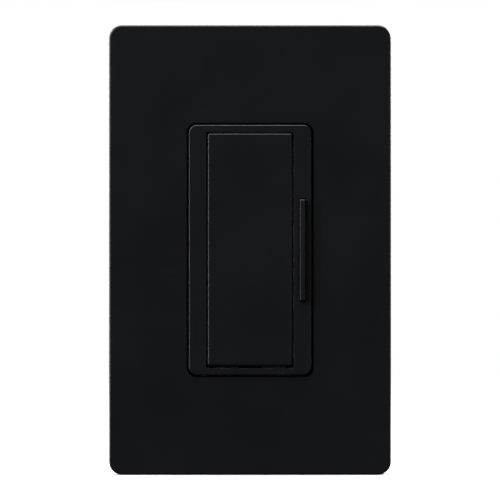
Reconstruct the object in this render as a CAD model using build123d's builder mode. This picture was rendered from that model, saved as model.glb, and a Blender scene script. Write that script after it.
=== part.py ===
"""Single-gang wall dimmer with a tap paddle, a raise and lower rocker and a pull-out air-gap tab.

The frame is +Z up, +X to the right of someone facing the wall, and -Y towards the room. The origin is
the middle of the two box screws, on the wall surface. Sizes are in millimetres. A height is a distance
from the wall surface towards the room, so whatever sits inside the wall box has a negative height.
"""

import os
from math import cos, pi, radians, sin, tan

from build123d import *

# ------------------------------------------------------------------ screwless wall plate
PLATE_WIDTH = 74.7
PLATE_LENGTH = 119.1
PLATE_HEIGHT = 7.6
PLATE_CORNER = 3.5
PLATE_EDGE = 0.5
PLATE_WALL = 2.0
PLATE_FACE = 2.2
COLLAR_WALL = 1.2
COLLAR_DEPTH = 1.4
BARB_LENGTH = 9.0
BARB_REACH = 0.6
BARB_BACK = 0.3
BARB_ROOT = 0.4
REST_RADIUS = 1.5
REST_INSET = 7.5
PRY_WIDTH = 8.0
PRY_HEIGHT = 0.9

# ------------------------------------------------------------------ adapter plate
ADAPTER_THICKNESS = 2.0
ADAPTER_RIM = 2.4
ADAPTER_RIM_HEIGHT = 0.5
SNAP_CLEARANCE = 0.15
STACK_CLEARANCE = 0.05
WINDOW_LENGTH = 13.0

# ------------------------------------------------------------------ yoke
YOKE_THICKNESS = 1.6
YOKE_SIDE_GAP = 3.35
YOKE_LIP = 3.4
EAR_WIDTH = 44.0
EAR_MARGIN = 4.78
YOKE_CORNER = 2.5
BOX_SCREW_SPACING = 83.34
PLATE_SCREW_SPACING = 96.84
BOX_SLOT_LENGTH = 6.6
BOX_SLOT_WIDTH = 3.9
SCORE_WIDTH = 0.8
SCORE_DEPTH = 0.7
FIN_SCORE_GAP = 3.3
EAR_SCORE_X = 13.0
EAR_HOLE_RADIUS = 2.1
GROUND_TAB_X = -14.0
GROUND_TAB_WIDTH = 9.5
GROUND_TAB_DEPTH = 10.5

# ------------------------------------------------------------------ screws
THREAD_RADIUS = 1.75
THREAD_CLEARANCE = 0.05
SCREW_HOLE_CLEARANCE = 0.2
BOX_HEAD_RADIUS = 2.9
BOX_HEAD_HEIGHT = 1.9
BOX_NECK_RADIUS = 1.5
BOX_SCREW_LENGTH = 22.0
RETAINER_SIDE = 8.0
RETAINER_THICKNESS = 0.4
ADAPTER_HEAD_RADIUS = 2.75
ADAPTER_SCREW_LENGTH = 5.5
HOUSING_SCREW_RADIUS = 1.25
HOUSING_SCREW_HEAD = 2.3
HOUSING_SCREW_LENGTH = 10.0
COUNTERSINK_ANGLE = 82.0
TERMINAL_HEAD_RADIUS = 3.4
TERMINAL_HEAD_HEIGHT = 2.0
TERMINAL_THREAD_RADIUS = 1.7
RECESS_WIDTH = 0.9
RECESS_DEPTH = 1.1

# ------------------------------------------------------------------ bezel
BEZEL_WIDTH = 32.4
BEZEL_LENGTH = 66.2
BEZEL_CORNER = 2.1
BEZEL_PROUD = 0.8
BEZEL_FACE = 1.8
BEZEL_WALL = 1.3
BEZEL_EDGE = 0.3
PLATE_GAP = 0.6
ADAPTER_GAP = 0.25
PARTITION_WALL = 0.7
PARTITION_INSET = 0.3
CLIP_INSET = 4.35
CLIP_WIDTH = 4.0
CLIP_THICKNESS = 1.0
CLIP_HOOK = 0.7
CLIP_HOOK_HEIGHT = 1.1
CLIP_SLOT_CLEARANCE = 0.25
CLIP_BRIDGE = 1.6

# ------------------------------------------------------------------ tap paddle
SIDE_RAIL = 4.6
END_RAIL = 1.85
PADDLE_DROP = 0.05
PADDLE_PROUD = 0.3
PADDLE_DEPTH = 4.1
PADDLE_SHELL = 1.4
PADDLE_CORNER = 0.4
PADDLE_EDGE = 0.28
PADDLE_FOOT_EDGE = 0.8
PADDLE_GAP = 0.42
PADDLE_HINGE_INSET = 2.0
PADDLE_HINGE_HEIGHT = 5.2
PADDLE_PIN_RADIUS = 0.9
PADDLE_POST_RADIUS = 1.6
PADDLE_POST_REACH = 30.0
PADDLE_RIB = 0.9
PADDLE_PRESS_DEG = 1.0

# ------------------------------------------------------------------ raise and lower rocker
ROCKER_WIDTH = 1.45
ROCKER_LENGTH = 26.7
ROCKER_PROUD = 1.6
ROCKER_EDGE = 0.25
ROCKER_SIDE_GAP = 0.2
ROCKER_END_GAP = 0.4
ROCKER_BACK = 3.6
ROCKER_HINGE_HEIGHT = 4.6
ROCKER_PIN_RADIUS = 0.8
ROCKER_FOOT_Z = 9.0
ROCKER_FOOT_LENGTH = 2.4
ROCKER_TILT_DEG = 1.9
PIVOT_CLEARANCE = 0.06
PIVOT_END_CLEARANCE = 0.1
PIVOT_BORE_DEPTH = 0.85

# ------------------------------------------------------------------ air-gap tab
TAB_CLIP_GAP = 1.55
TAB_GAP = 0.25
TAB_LIFT = 0.4
TAB_ARM_WIDTH = 6.0
TAB_ARM_THICKNESS = 1.2
TAB_STEM_Z = -28.6
TAB_STEM_END = -9.5
TAB_TRAVEL = 2.5
TAB_GROOVE = 0.4
ARM_CLEARANCE = 0.4

# ------------------------------------------------------------------ back housing
HOUSING_WIDTH = 42.4
HOUSING_LENGTH = 66.0
HOUSING_DEPTH = 27.0
HOUSING_WALL = 1.8
HOUSING_BACK = 2.0
HOUSING_CORNER = 2.5
HOUSING_EDGE = 1.4
BOSS_RADIUS = 2.4
BOSS_DEPTH = 14.0
LEDGE_THICKNESS = 1.0
LEDGE_DEPTH = 6.0
LEDGE_LENGTH = 8.0
POCKET_WIDTH = 9.4
POCKET_START = 11.5
POCKET_DEPTH = 4.3
POCKET_WALL = 1.5
TERMINAL_Z = 14.0
TERMINAL_DEPTH = 16.5
CLAMP_THICKNESS = 1.0
CLAMP_SIDE = 8.0
BRACKET_THICKNESS = 1.0
BRACKET_WIDTH = 6.0
BRACKET_GAP = 0.2
TERMINAL_TIP = 1.0
VENT_WIDTH = 1.4
VENT_LENGTH = 7.0
VENT_PITCH = 4.0
VENT_COUNT = 5
VENT_DEPTH = 19.5
GAUGE_LENGTH = 16.0
GAUGE_WIDTH = 2.6
GAUGE_DEPTH = 0.6
PANEL_SIDE_GAP = 1.4
PANEL_LENGTH = 42.0
PANEL_DEPTH = 0.3
EJECTOR_RADIUS = 1.7
EJECTOR_DEPTH = 0.15

# ------------------------------------------------------------------ circuit board and what is on it
SHEET_THICKNESS = 0.3
SHEET_SIDE_GAP = 1.4
SHEET_END_GAP = 2.7
BOARD_FRONT = 4.6
BOARD_THICKNESS = 1.6
BOARD_CLEARANCE = 0.35
SWITCH_SIDE = 6.0
SWITCH_COVER = 0.3
SWITCH_TOP = 1.2
PLUNGER_RADIUS = 1.7
PLUNGER_TOP = 0.65
PLUNGER_CLEARANCE = 0.08
PLUNGER_FLOOR = 0.8
PLUNGER_PLAY = 0.05
TERMINAL_LEG = 0.8
LEG_THICKNESS = 0.2
TRIAC_Z = 20.0
TRIAC_WIDTH = 10.2
TRIAC_LENGTH = 15.6
TRIAC_TAB = 1.3
TRIAC_BODY_LENGTH = 9.2
TRIAC_BODY = 4.4
TRIAC_MARGIN = 0.6
PAD_THICKNESS = 0.2
PAD_MARGIN = 0.5
RIVET_RADIUS = 1.6
RIVET_HEAD = 2.6
RIVET_HEAD_HEIGHT = 0.8
CHOKE_X = 3.2
CHOKE_Z = 17.0
CHOKE_OUTER = 8.4
CHOKE_INNER = 4.6
CHOKE_HEIGHT = 7.0
CHOKE_WIRE = 0.45
CHOKE_TURNS = 22
COIL_GAP = 0.04
FILM_X = -8.5
FILM_Z = 0.0
FILM_WIDTH = 6.0
FILM_LENGTH = 13.0
FILM_HEIGHT = 11.0
CAN_X = 7.5
CAN_Z = -11.0
CAN_RADIUS = 4.0
CAN_HEIGHT = 11.0
CHIP_X = -8.0
CHIP_Z = -15.5
CHIP_WIDTH = 6.0
CHIP_LENGTH = 9.0
CHIP_HEIGHT = 1.5
FUSE_X = 4.2
FUSE_Z = 0.5
FUSE_RADIUS = 2.2
FUSE_LENGTH = 8.0
FUSE_CAP = 2.0
RESISTOR_Z = -22.0
RESISTOR_RADIUS = 1.2
RESISTOR_LENGTH = 6.5
RESISTOR_GAP = 3.0
LEAD_RADIUS = 0.3
LEAD_PITCH = 2.54
LEAD_REACH = 3.2
BAND_LENGTH = 1.6

# ------------------------------------------------------------------ springs and contacts
COIL_RADIUS = 2.5
COIL_WIRE = 0.2
COIL_TURNS = 5
LEAF_THICKNESS = 0.25
LEAF_WIDTH = 3.0
LEAF_START_X = -13.0
LEAF_CONTACT_X = 6.0
CONTACT_RADIUS = 1.1
CONTACT_HEIGHT = 0.4
CONTACT_GAP = 0.03

# ------------------------------------------------------------------ worked out from the sizes above
BEZEL_HEIGHT = PLATE_HEIGHT + BEZEL_PROUD
PADDLE_HEIGHT = BEZEL_HEIGHT + PADDLE_PROUD
ROCKER_HEIGHT = BEZEL_HEIGHT + ROCKER_PROUD
ADAPTER_FRONT = YOKE_THICKNESS + ADAPTER_THICKNESS
CAVITY_WIDTH = PLATE_WIDTH - 2 * PLATE_WALL
CAVITY_LENGTH = PLATE_LENGTH - 2 * PLATE_WALL
CAVITY_TOP = PLATE_HEIGHT - PLATE_FACE
YOKE_WIDTH = CAVITY_WIDTH - 2 * YOKE_SIDE_GAP
YOKE_LENGTH = HOUSING_LENGTH + 2 * YOKE_LIP
EAR_SPAN = PLATE_SCREW_SPACING + 2 * EAR_MARGIN
FIN_SCORE_X = HOUSING_WIDTH / 2 + FIN_SCORE_GAP
OPENING_WIDTH = BEZEL_WIDTH + 2 * PLATE_GAP
OPENING_LENGTH = BEZEL_LENGTH + 2 * PLATE_GAP
OPENING_CORNER = BEZEL_CORNER + PLATE_GAP
WELL_WIDTH = BEZEL_WIDTH - 2 * BEZEL_WALL
WELL_LENGTH = BEZEL_LENGTH - 2 * BEZEL_WALL
WELL_HEIGHT = BEZEL_HEIGHT - BEZEL_FACE - YOKE_THICKNESS
CLIP_X = BEZEL_WIDTH / 2 - CLIP_INSET
TAB_WIDTH = 2 * (CLIP_X - CLIP_WIDTH / 2 - TAB_CLIP_GAP)
TAB_BACK = YOKE_THICKNESS + TAB_LIFT
PADDLE_WIDTH = BEZEL_WIDTH - 2 * (SIDE_RAIL + PADDLE_GAP)
PADDLE_LENGTH = BEZEL_LENGTH - 2 * (END_RAIL + PADDLE_GAP)
ROCKER_X = (BEZEL_WIDTH - SIDE_RAIL) / 2
PADDLE_Z = -PADDLE_DROP
PADDLE_TOP = PADDLE_Z + PADDLE_LENGTH / 2
PADDLE_FOOT = PADDLE_Z - PADDLE_LENGTH / 2
PADDLE_HOLE_WIDTH = PADDLE_WIDTH + 2 * PADDLE_GAP
PADDLE_HOLE_LENGTH = PADDLE_LENGTH + 2 * PADDLE_GAP
PADDLE_INSIDE = PADDLE_HEIGHT - PADDLE_SHELL
PADDLE_BACK = PADDLE_HEIGHT - PADDLE_DEPTH
PADDLE_HINGE_Z = PADDLE_TOP - PADDLE_HINGE_INSET
PADDLE_POST_Z = PADDLE_HINGE_Z - PADDLE_POST_REACH
PARTITION_NEAR = PADDLE_HOLE_WIDTH / 2 + PARTITION_INSET
PARTITION_FAR = PARTITION_NEAR + PARTITION_WALL
PIN_TIP_X = PARTITION_FAR - PIVOT_END_CLEARANCE
SWITCH_BASE_TOP = SWITCH_TOP + SWITCH_COVER
POST_TIP = PLUNGER_TOP - PLUNGER_PLAY
BOARD_BACK = BOARD_FRONT + BOARD_THICKNESS
HOUSING_INNER_WIDTH = HOUSING_WIDTH - 2 * HOUSING_WALL
HOUSING_INNER_LENGTH = HOUSING_LENGTH - 2 * HOUSING_WALL
SHEET_WIDTH = HOUSING_INNER_WIDTH - 2 * SHEET_SIDE_GAP
SHEET_LENGTH = HOUSING_INNER_LENGTH - 2 * SHEET_END_GAP
BOARD_WIDTH = HOUSING_INNER_WIDTH - 2 * BOARD_CLEARANCE
BOARD_LENGTH = HOUSING_INNER_LENGTH - 2 * BOARD_CLEARANCE
BOSS_X = HOUSING_INNER_WIDTH / 2 - BOSS_RADIUS
BOSS_Z = HOUSING_INNER_LENGTH / 2 - BOSS_RADIUS
POCKET_FLOOR_X = HOUSING_WIDTH / 2 - POCKET_DEPTH
BRACKET_OUTER_X = POCKET_FLOOR_X - POCKET_WALL - BRACKET_GAP
TERMINAL_SEAT_X = POCKET_FLOOR_X + CLAMP_THICKNESS
TERMINAL_SCREW_LENGTH = TERMINAL_SEAT_X - BRACKET_OUTER_X + BRACKET_THICKNESS + TERMINAL_TIP
TAB_FOOT = -BEZEL_LENGTH / 2
TAB_TOP = PADDLE_FOOT - PADDLE_GAP
TAB_THICKNESS = TAB_TOP - TAB_FOOT
CLIP_OUTER = HOUSING_INNER_LENGTH / 2 - CLIP_SLOT_CLEARANCE
CLIP_INNER = CLIP_OUTER - CLIP_THICKNESS
COUNTERSINK_SLOPE = tan(radians(COUNTERSINK_ANGLE / 2))
ADAPTER_WINDOW_WIDTH = 2 * BOX_HEAD_RADIUS + 2 * SCREW_HOLE_CLEARANCE
TRIAC_FRONT = PAD_THICKNESS
TRIAC_X = RIVET_HEAD + PARTITION_INSET - PARTITION_NEAR
SWITCHES = {
    "tap": (0.0, PADDLE_POST_Z),
    "raise": (ROCKER_X, ROCKER_FOOT_Z),
    "lower": (ROCKER_X, -ROCKER_FOOT_Z),
}
TERMINALS = {"line": (1, TERMINAL_Z), "load": (1, -TERMINAL_Z), "companion": (-1, 0.0)}
BOX_SCREWS = [(0, side * BOX_SCREW_SPACING / 2) for side in (1, -1)]
PLATE_SCREWS = [(0, side * PLATE_SCREW_SPACING / 2) for side in (1, -1)]
HOUSING_SCREWS = [(x * BOSS_X, z * BOSS_Z) for x in (1, -1) for z in (1, -1)]
CLIPS = [(x * CLIP_X, z) for x in (1, -1) for z in (1, -1)]


# ------------------------------------------------------------------ planes
def at(height):
    """The plane at this height. Its own x is +X, its own y is +Z and it faces the room."""
    return Plane.XZ.offset(height)


def seat(height, x, z):
    """A plane that faces the room, with its origin at this point."""
    return Plane(origin=(x, -height, z), x_dir=(1, 0, 0), z_dir=(0, -1, 0))


def section_of(plane):
    """The plane that holds the given plane's x and normal, for profiles turned about that normal."""
    return Plane(origin=plane.origin, x_dir=plane.x_dir, z_dir=-plane.y_dir)


def side_plane(side, x, y, z):
    """A plane that faces +X where side is 1, and -X where it is -1."""
    return Plane(origin=(side * x, y, z), x_dir=(0, 1, 0), z_dir=(side, 0, 0))


def cross_recess(plane, radius):
    """A cross cut into a screw's head, whose top lies on the plane."""
    with BuildSketch(plane) as cross:
        Rectangle(2 * radius, RECESS_WIDTH)
        Rectangle(RECESS_WIDTH, 2 * radius)
    extrude(cross.sketch, amount=-RECESS_DEPTH, mode=Mode.SUBTRACT)


def turned(plane, points):
    """A solid of revolution about the plane's normal. Each point is a radius and a distance along the normal."""
    with BuildSketch(section_of(plane)) as profile:
        with BuildLine():
            Polyline(*points, close=True)
        make_face()
    revolve(profile.sketch, axis=Axis(plane.origin, plane.z_dir))


def pan_screw(plane, head_radius, head_height, shank_radius, length):
    """A pan head on the plane, its shank behind it, and a cross recess."""
    crown = head_height / 3
    turned(
        plane,
        [
            (0, head_height),
            (head_radius * 0.7, head_height),
            (head_radius * 0.92, head_height - crown / 2),
            (head_radius, head_height - 1.6 * crown),
            (head_radius, 0),
            (shank_radius, 0),
            (shank_radius, -length + shank_radius / 2),
            (shank_radius / 2, -length),
            (0, -length),
        ],
    )
    cross_recess(plane.offset(head_height), head_radius * 0.55)


def flat_screw(plane, head_radius, shank_radius, length):
    """A countersunk head whose top lies on the plane."""
    head = (head_radius - shank_radius) / COUNTERSINK_SLOPE
    turned(
        plane,
        [
            (0, 0),
            (head_radius, 0),
            (shank_radius, -head),
            (shank_radius, -length + shank_radius / 2),
            (shank_radius / 2, -length),
            (0, -length),
        ],
    )
    cross_recess(plane, head_radius * 0.6)


def room_face(builder):
    """The builder's foremost face."""
    return builder.faces().filter_by(Axis.Y).sort_by(Axis.Y)[0]


# ------------------------------------------------------------------ wall plate and adapter
def make_wallplate_cover():
    with BuildPart() as cover:
        with BuildSketch(at(0)):
            RectangleRounded(PLATE_WIDTH, PLATE_LENGTH, PLATE_CORNER)
        extrude(amount=PLATE_HEIGHT)
        fillet(room_face(cover).edges(), PLATE_EDGE)
        with BuildSketch(at(0)):
            RectangleRounded(CAVITY_WIDTH, CAVITY_LENGTH, PLATE_CORNER - PLATE_WALL)
        extrude(amount=CAVITY_TOP, mode=Mode.SUBTRACT)
        with BuildSketch(at(CAVITY_TOP)):
            collar = 2 * COLLAR_WALL
            RectangleRounded(OPENING_WIDTH + collar, OPENING_LENGTH + collar, OPENING_CORNER + COLLAR_WALL)
        extrude(amount=-COLLAR_DEPTH)
        with BuildSketch(at(0)):
            RectangleRounded(OPENING_WIDTH, OPENING_LENGTH, OPENING_CORNER)
        extrude(amount=PLATE_HEIGHT, mode=Mode.SUBTRACT)
        rest_x = CAVITY_WIDTH - 2 * REST_INSET
        rest_z = CAVITY_LENGTH - 2 * REST_INSET
        with BuildSketch(at(CAVITY_TOP)):
            with GridLocations(rest_x, rest_z / 2, 2, 3):
                Circle(REST_RADIUS)
        extrude(amount=ADAPTER_FRONT + ADAPTER_RIM_HEIGHT + STACK_CLEARANCE - CAVITY_TOP)
        for inward, point in barb_places():
            place = Plane(origin=point, x_dir=inward, z_dir=inward.cross(Vector(0, -1, 0)))
            catch = YOKE_THICKNESS - STACK_CLEARANCE
            with BuildSketch(place):
                with BuildLine():
                    Polyline(
                        (-BARB_ROOT, BARB_BACK),
                        (0, BARB_BACK),
                        (BARB_REACH, catch - 0.2),
                        (BARB_REACH, catch),
                        (-BARB_ROOT, catch),
                        close=True,
                    )
                make_face()
            extrude(amount=BARB_LENGTH / 2, both=True)
        with BuildSketch(at(0)):
            with Locations((0, -(PLATE_LENGTH - PLATE_WALL) / 2)):
                Rectangle(PRY_WIDTH, 2 * PLATE_WALL)
        extrude(amount=PRY_HEIGHT, mode=Mode.SUBTRACT)
    return cover.part


def barb_places():
    """Each snap barb's inward direction and its place on the wall plate's inner wall."""
    half_width, half_length = CAVITY_WIDTH / 2, CAVITY_LENGTH / 2
    for side in (1, -1):
        for share in (-0.5, 0.5):
            yield Vector(0, 0, -side), Vector(share * CAVITY_WIDTH * 0.6, 0, side * half_length)
            yield Vector(-side, 0, 0), Vector(side * half_width, 0, share * CAVITY_LENGTH * 0.6)


def make_adapter_plate():
    width = CAVITY_WIDTH - 2 * SNAP_CLEARANCE
    length = CAVITY_LENGTH - 2 * SNAP_CLEARANCE
    corner = PLATE_CORNER - PLATE_WALL
    with BuildPart() as adapter:
        with BuildSketch(at(YOKE_THICKNESS)):
            RectangleRounded(width, length, corner)
        extrude(amount=ADAPTER_THICKNESS)
        with BuildSketch(at(ADAPTER_FRONT)):
            RectangleRounded(width, length, corner)
            Rectangle(width - 2 * ADAPTER_RIM, length - 2 * ADAPTER_RIM, mode=Mode.SUBTRACT)
            with GridLocations(CAVITY_WIDTH - 2 * REST_INSET, CAVITY_LENGTH / 2 - REST_INSET, 2, 3):
                Circle(REST_RADIUS + ADAPTER_RIM_HEIGHT)
        extrude(amount=ADAPTER_RIM_HEIGHT)
        with BuildSketch(at(YOKE_THICKNESS)):
            gap = 2 * ADAPTER_GAP
            RectangleRounded(BEZEL_WIDTH + gap, BEZEL_LENGTH + gap, BEZEL_CORNER + ADAPTER_GAP)
            with Locations(*BOX_SCREWS):
                SlotOverall(WINDOW_LENGTH, ADAPTER_WINDOW_WIDTH)
        extrude(amount=ADAPTER_THICKNESS, mode=Mode.SUBTRACT)
        for x, z in PLATE_SCREWS:
            with Locations(seat(ADAPTER_FRONT, x, z)):
                CounterSinkHole(
                    THREAD_RADIUS + SCREW_HOLE_CLEARANCE,
                    ADAPTER_HEAD_RADIUS + SCREW_HOLE_CLEARANCE,
                    depth=ADAPTER_THICKNESS,
                    counter_sink_angle=COUNTERSINK_ANGLE,
                )
    return adapter.part


def make_adapter_screws():
    with BuildPart() as screws:
        for x, z in PLATE_SCREWS:
            plane = seat(ADAPTER_FRONT - STACK_CLEARANCE, x, z)
            shank = THREAD_RADIUS - THREAD_CLEARANCE
            flat_screw(plane, ADAPTER_HEAD_RADIUS, shank, ADAPTER_SCREW_LENGTH)
    return screws.part


# ------------------------------------------------------------------ yoke and its screws
def make_mounting_yoke():
    front = at(YOKE_THICKNESS)
    with BuildPart() as yoke:
        with BuildSketch(at(0)):
            RectangleRounded(YOKE_WIDTH, YOKE_LENGTH, YOKE_CORNER)
            RectangleRounded(EAR_WIDTH, EAR_SPAN, YOKE_CORNER)
        extrude(amount=YOKE_THICKNESS)
        with BuildSketch(front):
            with Locations((FIN_SCORE_X, 0), (-FIN_SCORE_X, 0)):
                Rectangle(SCORE_WIDTH, YOKE_LENGTH)
            ear_length = (EAR_SPAN - YOKE_LENGTH) / 2
            with GridLocations(2 * EAR_SCORE_X, YOKE_LENGTH + ear_length, 2, 2):
                Rectangle(SCORE_WIDTH, ear_length)
        extrude(amount=-SCORE_DEPTH, mode=Mode.SUBTRACT)
        with BuildSketch(front):
            with Locations(*BOX_SCREWS):
                SlotOverall(BOX_SLOT_LENGTH, BOX_SLOT_WIDTH)
            with Locations(*PLATE_SCREWS):
                Circle(THREAD_RADIUS)
            with Locations((0, PADDLE_POST_Z)):
                Circle(PADDLE_POST_RADIUS + ARM_CLEARANCE)
            with Locations((ROCKER_X, ROCKER_FOOT_Z), (ROCKER_X, -ROCKER_FOOT_Z)):
                Rectangle(ROCKER_WIDTH + 2 * ARM_CLEARANCE, ROCKER_FOOT_LENGTH + 2 * ARM_CLEARANCE)
            with Locations((0, TAB_STEM_Z)):
                Rectangle(TAB_ARM_WIDTH + 2 * ARM_CLEARANCE, TAB_ARM_THICKNESS + 2 * ARM_CLEARANCE)
            with Locations((TRIAC_X, rivet_z())):
                Circle(RIVET_RADIUS)
            # a hole in each break-off ear
            ear_x = (EAR_SCORE_X + EAR_WIDTH / 2) / 2
            with GridLocations(2 * ear_x, (YOKE_LENGTH + EAR_SPAN) / 2, 2, 2):
                Circle(EAR_HOLE_RADIUS)
            for x, side in CLIPS:
                with Locations((x, side * (CLIP_OUTER + CLIP_INNER - CLIP_HOOK) / 2)):
                    slot = CLIP_THICKNESS + CLIP_HOOK + CLIP_SLOT_CLEARANCE
                    Rectangle(CLIP_WIDTH + 2 * CLIP_SLOT_CLEARANCE, slot)
        extrude(amount=-YOKE_THICKNESS, mode=Mode.SUBTRACT)
        for x, z in HOUSING_SCREWS:
            with Locations(seat(YOKE_THICKNESS, x, z)):
                CounterSinkHole(
                    HOUSING_SCREW_RADIUS + SCREW_HOLE_CLEARANCE,
                    HOUSING_SCREW_HEAD + SCREW_HOLE_CLEARANCE / 2,
                    depth=YOKE_THICKNESS,
                    counter_sink_angle=COUNTERSINK_ANGLE,
                )
        with BuildSketch(at(0)):
            with Locations((GROUND_TAB_X, -(YOKE_LENGTH - YOKE_THICKNESS) / 2)):
                Rectangle(GROUND_TAB_WIDTH, YOKE_THICKNESS)
        extrude(amount=-GROUND_TAB_DEPTH)
        with BuildSketch(ground_plane()):
            Circle(THREAD_RADIUS)
        extrude(amount=-YOKE_THICKNESS, mode=Mode.SUBTRACT)
    return yoke.part


def rivet_z():
    """The middle of the bare half of the triac's metal tab."""
    return TRIAC_Z + TRIAC_BODY_LENGTH / 2


def ground_plane():
    """The ground tab's outer face, which looks down."""
    origin = (GROUND_TAB_X, GROUND_TAB_DEPTH * 0.55, -YOKE_LENGTH / 2)
    return Plane(origin=origin, x_dir=(1, 0, 0), z_dir=(0, 0, -1))


def make_box_screws():
    """The two long screws that hold the yoke to the wall box, with a plain neck where they pass through it."""
    neck = YOKE_THICKNESS + RETAINER_THICKNESS
    with BuildPart() as screws:
        for x, z in BOX_SCREWS:
            plane = seat(YOKE_THICKNESS, x, z)
            pan_screw(plane, BOX_HEAD_RADIUS, BOX_HEAD_HEIGHT, BOX_NECK_RADIUS, BOX_SCREW_LENGTH)
            with BuildSketch(plane.offset(-neck)):
                Circle(THREAD_RADIUS)
            extrude(amount=neck - BOX_SCREW_LENGTH + THREAD_RADIUS)
    return screws.part


def make_screw_retainers():
    with BuildPart() as retainers:
        with BuildSketch(at(0)):
            with Locations(*BOX_SCREWS):
                RectangleRounded(RETAINER_SIDE, RETAINER_SIDE, 1)
                Circle(BOX_NECK_RADIUS + THREAD_CLEARANCE, mode=Mode.SUBTRACT)
        extrude(amount=-RETAINER_THICKNESS)
    return retainers.part


def make_ground_screw():
    with BuildPart() as screw:
        shank = THREAD_RADIUS - THREAD_CLEARANCE
        length = YOKE_THICKNESS + TERMINAL_TIP
        pan_screw(ground_plane(), TERMINAL_HEAD_RADIUS, TERMINAL_HEAD_HEIGHT, shank, length)
    return screw.part


def make_housing_screws():
    with BuildPart() as screws:
        for x, z in HOUSING_SCREWS:
            plane = seat(YOKE_THICKNESS - STACK_CLEARANCE, x, z)
            flat_screw(plane, HOUSING_SCREW_HEAD, HOUSING_SCREW_RADIUS, HOUSING_SCREW_LENGTH)
    return screws.part


# ------------------------------------------------------------------ bezel and the pieces that move in it
def make_bezel():
    with BuildPart() as bezel:
        with BuildSketch(at(YOKE_THICKNESS)):
            RectangleRounded(BEZEL_WIDTH, BEZEL_LENGTH, BEZEL_CORNER)
        extrude(amount=BEZEL_HEIGHT - YOKE_THICKNESS)
        fillet(room_face(bezel).edges(), BEZEL_EDGE)
        with BuildSketch(at(YOKE_THICKNESS)):
            Rectangle(WELL_WIDTH, WELL_LENGTH)
            # the partition between the paddle and the rocker, and the rib that mirrors it beside the hinge
            with Locations(((PARTITION_NEAR + PARTITION_FAR) / 2, 0)):
                Rectangle(PARTITION_WALL, WELL_LENGTH, mode=Mode.SUBTRACT)
            rib = WELL_LENGTH / 2 - PADDLE_HINGE_Z + 2 * PADDLE_HINGE_INSET
            with Locations((-(PARTITION_NEAR + PARTITION_FAR) / 2, (WELL_LENGTH - rib) / 2)):
                Rectangle(PARTITION_WALL, rib, mode=Mode.SUBTRACT)
        extrude(amount=WELL_HEIGHT, mode=Mode.SUBTRACT)
        with BuildSketch(at(BEZEL_HEIGHT)):
            with Locations((0, PADDLE_Z)):
                RectangleRounded(PADDLE_HOLE_WIDTH, PADDLE_HOLE_LENGTH, PADDLE_CORNER)
            with Locations((ROCKER_X, 0)):
                Rectangle(ROCKER_WIDTH + 2 * ROCKER_SIDE_GAP, ROCKER_LENGTH + 2 * ROCKER_END_GAP)
        extrude(amount=-BEZEL_FACE, mode=Mode.SUBTRACT)
        # the notch that the air-gap tab fills
        with BuildSketch(at(YOKE_THICKNESS)):
            with Locations((0, TAB_FOOT)):
                Rectangle(TAB_WIDTH + 2 * TAB_GAP, 2 * (PADDLE_FOOT - TAB_FOOT))
        extrude(amount=BEZEL_HEIGHT - YOKE_THICKNESS, mode=Mode.SUBTRACT)
        # hinge bores for the paddle, then for the rocker
        with BuildSketch(side_plane(1, -PARTITION_FAR, -PADDLE_HINGE_HEIGHT, PADDLE_HINGE_Z)):
            Circle(PADDLE_PIN_RADIUS + PIVOT_CLEARANCE)
        extrude(amount=2 * PARTITION_FAR, mode=Mode.SUBTRACT)
        with BuildSketch(side_plane(1, PARTITION_NEAR, -ROCKER_HINGE_HEIGHT, 0)):
            Circle(ROCKER_PIN_RADIUS + PIVOT_CLEARANCE)
        extrude(amount=WELL_WIDTH / 2 + PIVOT_BORE_DEPTH - PARTITION_NEAR, mode=Mode.SUBTRACT)
        # snap legs that pass through the yoke and hook behind it
        for x, side in CLIPS:
            with BuildSketch(at(YOKE_THICKNESS)):
                with Locations((x, side * (CLIP_INNER + BEZEL_LENGTH / 2 - BEZEL_WALL / 2) / 2)):
                    Rectangle(CLIP_WIDTH, BEZEL_LENGTH / 2 - BEZEL_WALL / 2 - CLIP_INNER)
            extrude(amount=CLIP_BRIDGE)
            with BuildSketch(Plane.YZ.offset(x)):
                with BuildLine():
                    Polyline(
                        (-YOKE_THICKNESS, side * CLIP_OUTER),
                        (CLIP_HOOK_HEIGHT + STACK_CLEARANCE, side * CLIP_OUTER),
                        (CLIP_HOOK_HEIGHT + STACK_CLEARANCE, side * CLIP_INNER),
                        (STACK_CLEARANCE, side * (CLIP_INNER - CLIP_HOOK)),
                        (STACK_CLEARANCE, side * CLIP_INNER),
                        (-YOKE_THICKNESS, side * CLIP_INNER),
                        close=True,
                    )
                make_face()
            extrude(amount=CLIP_WIDTH / 2, both=True)
    return bezel.part


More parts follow.
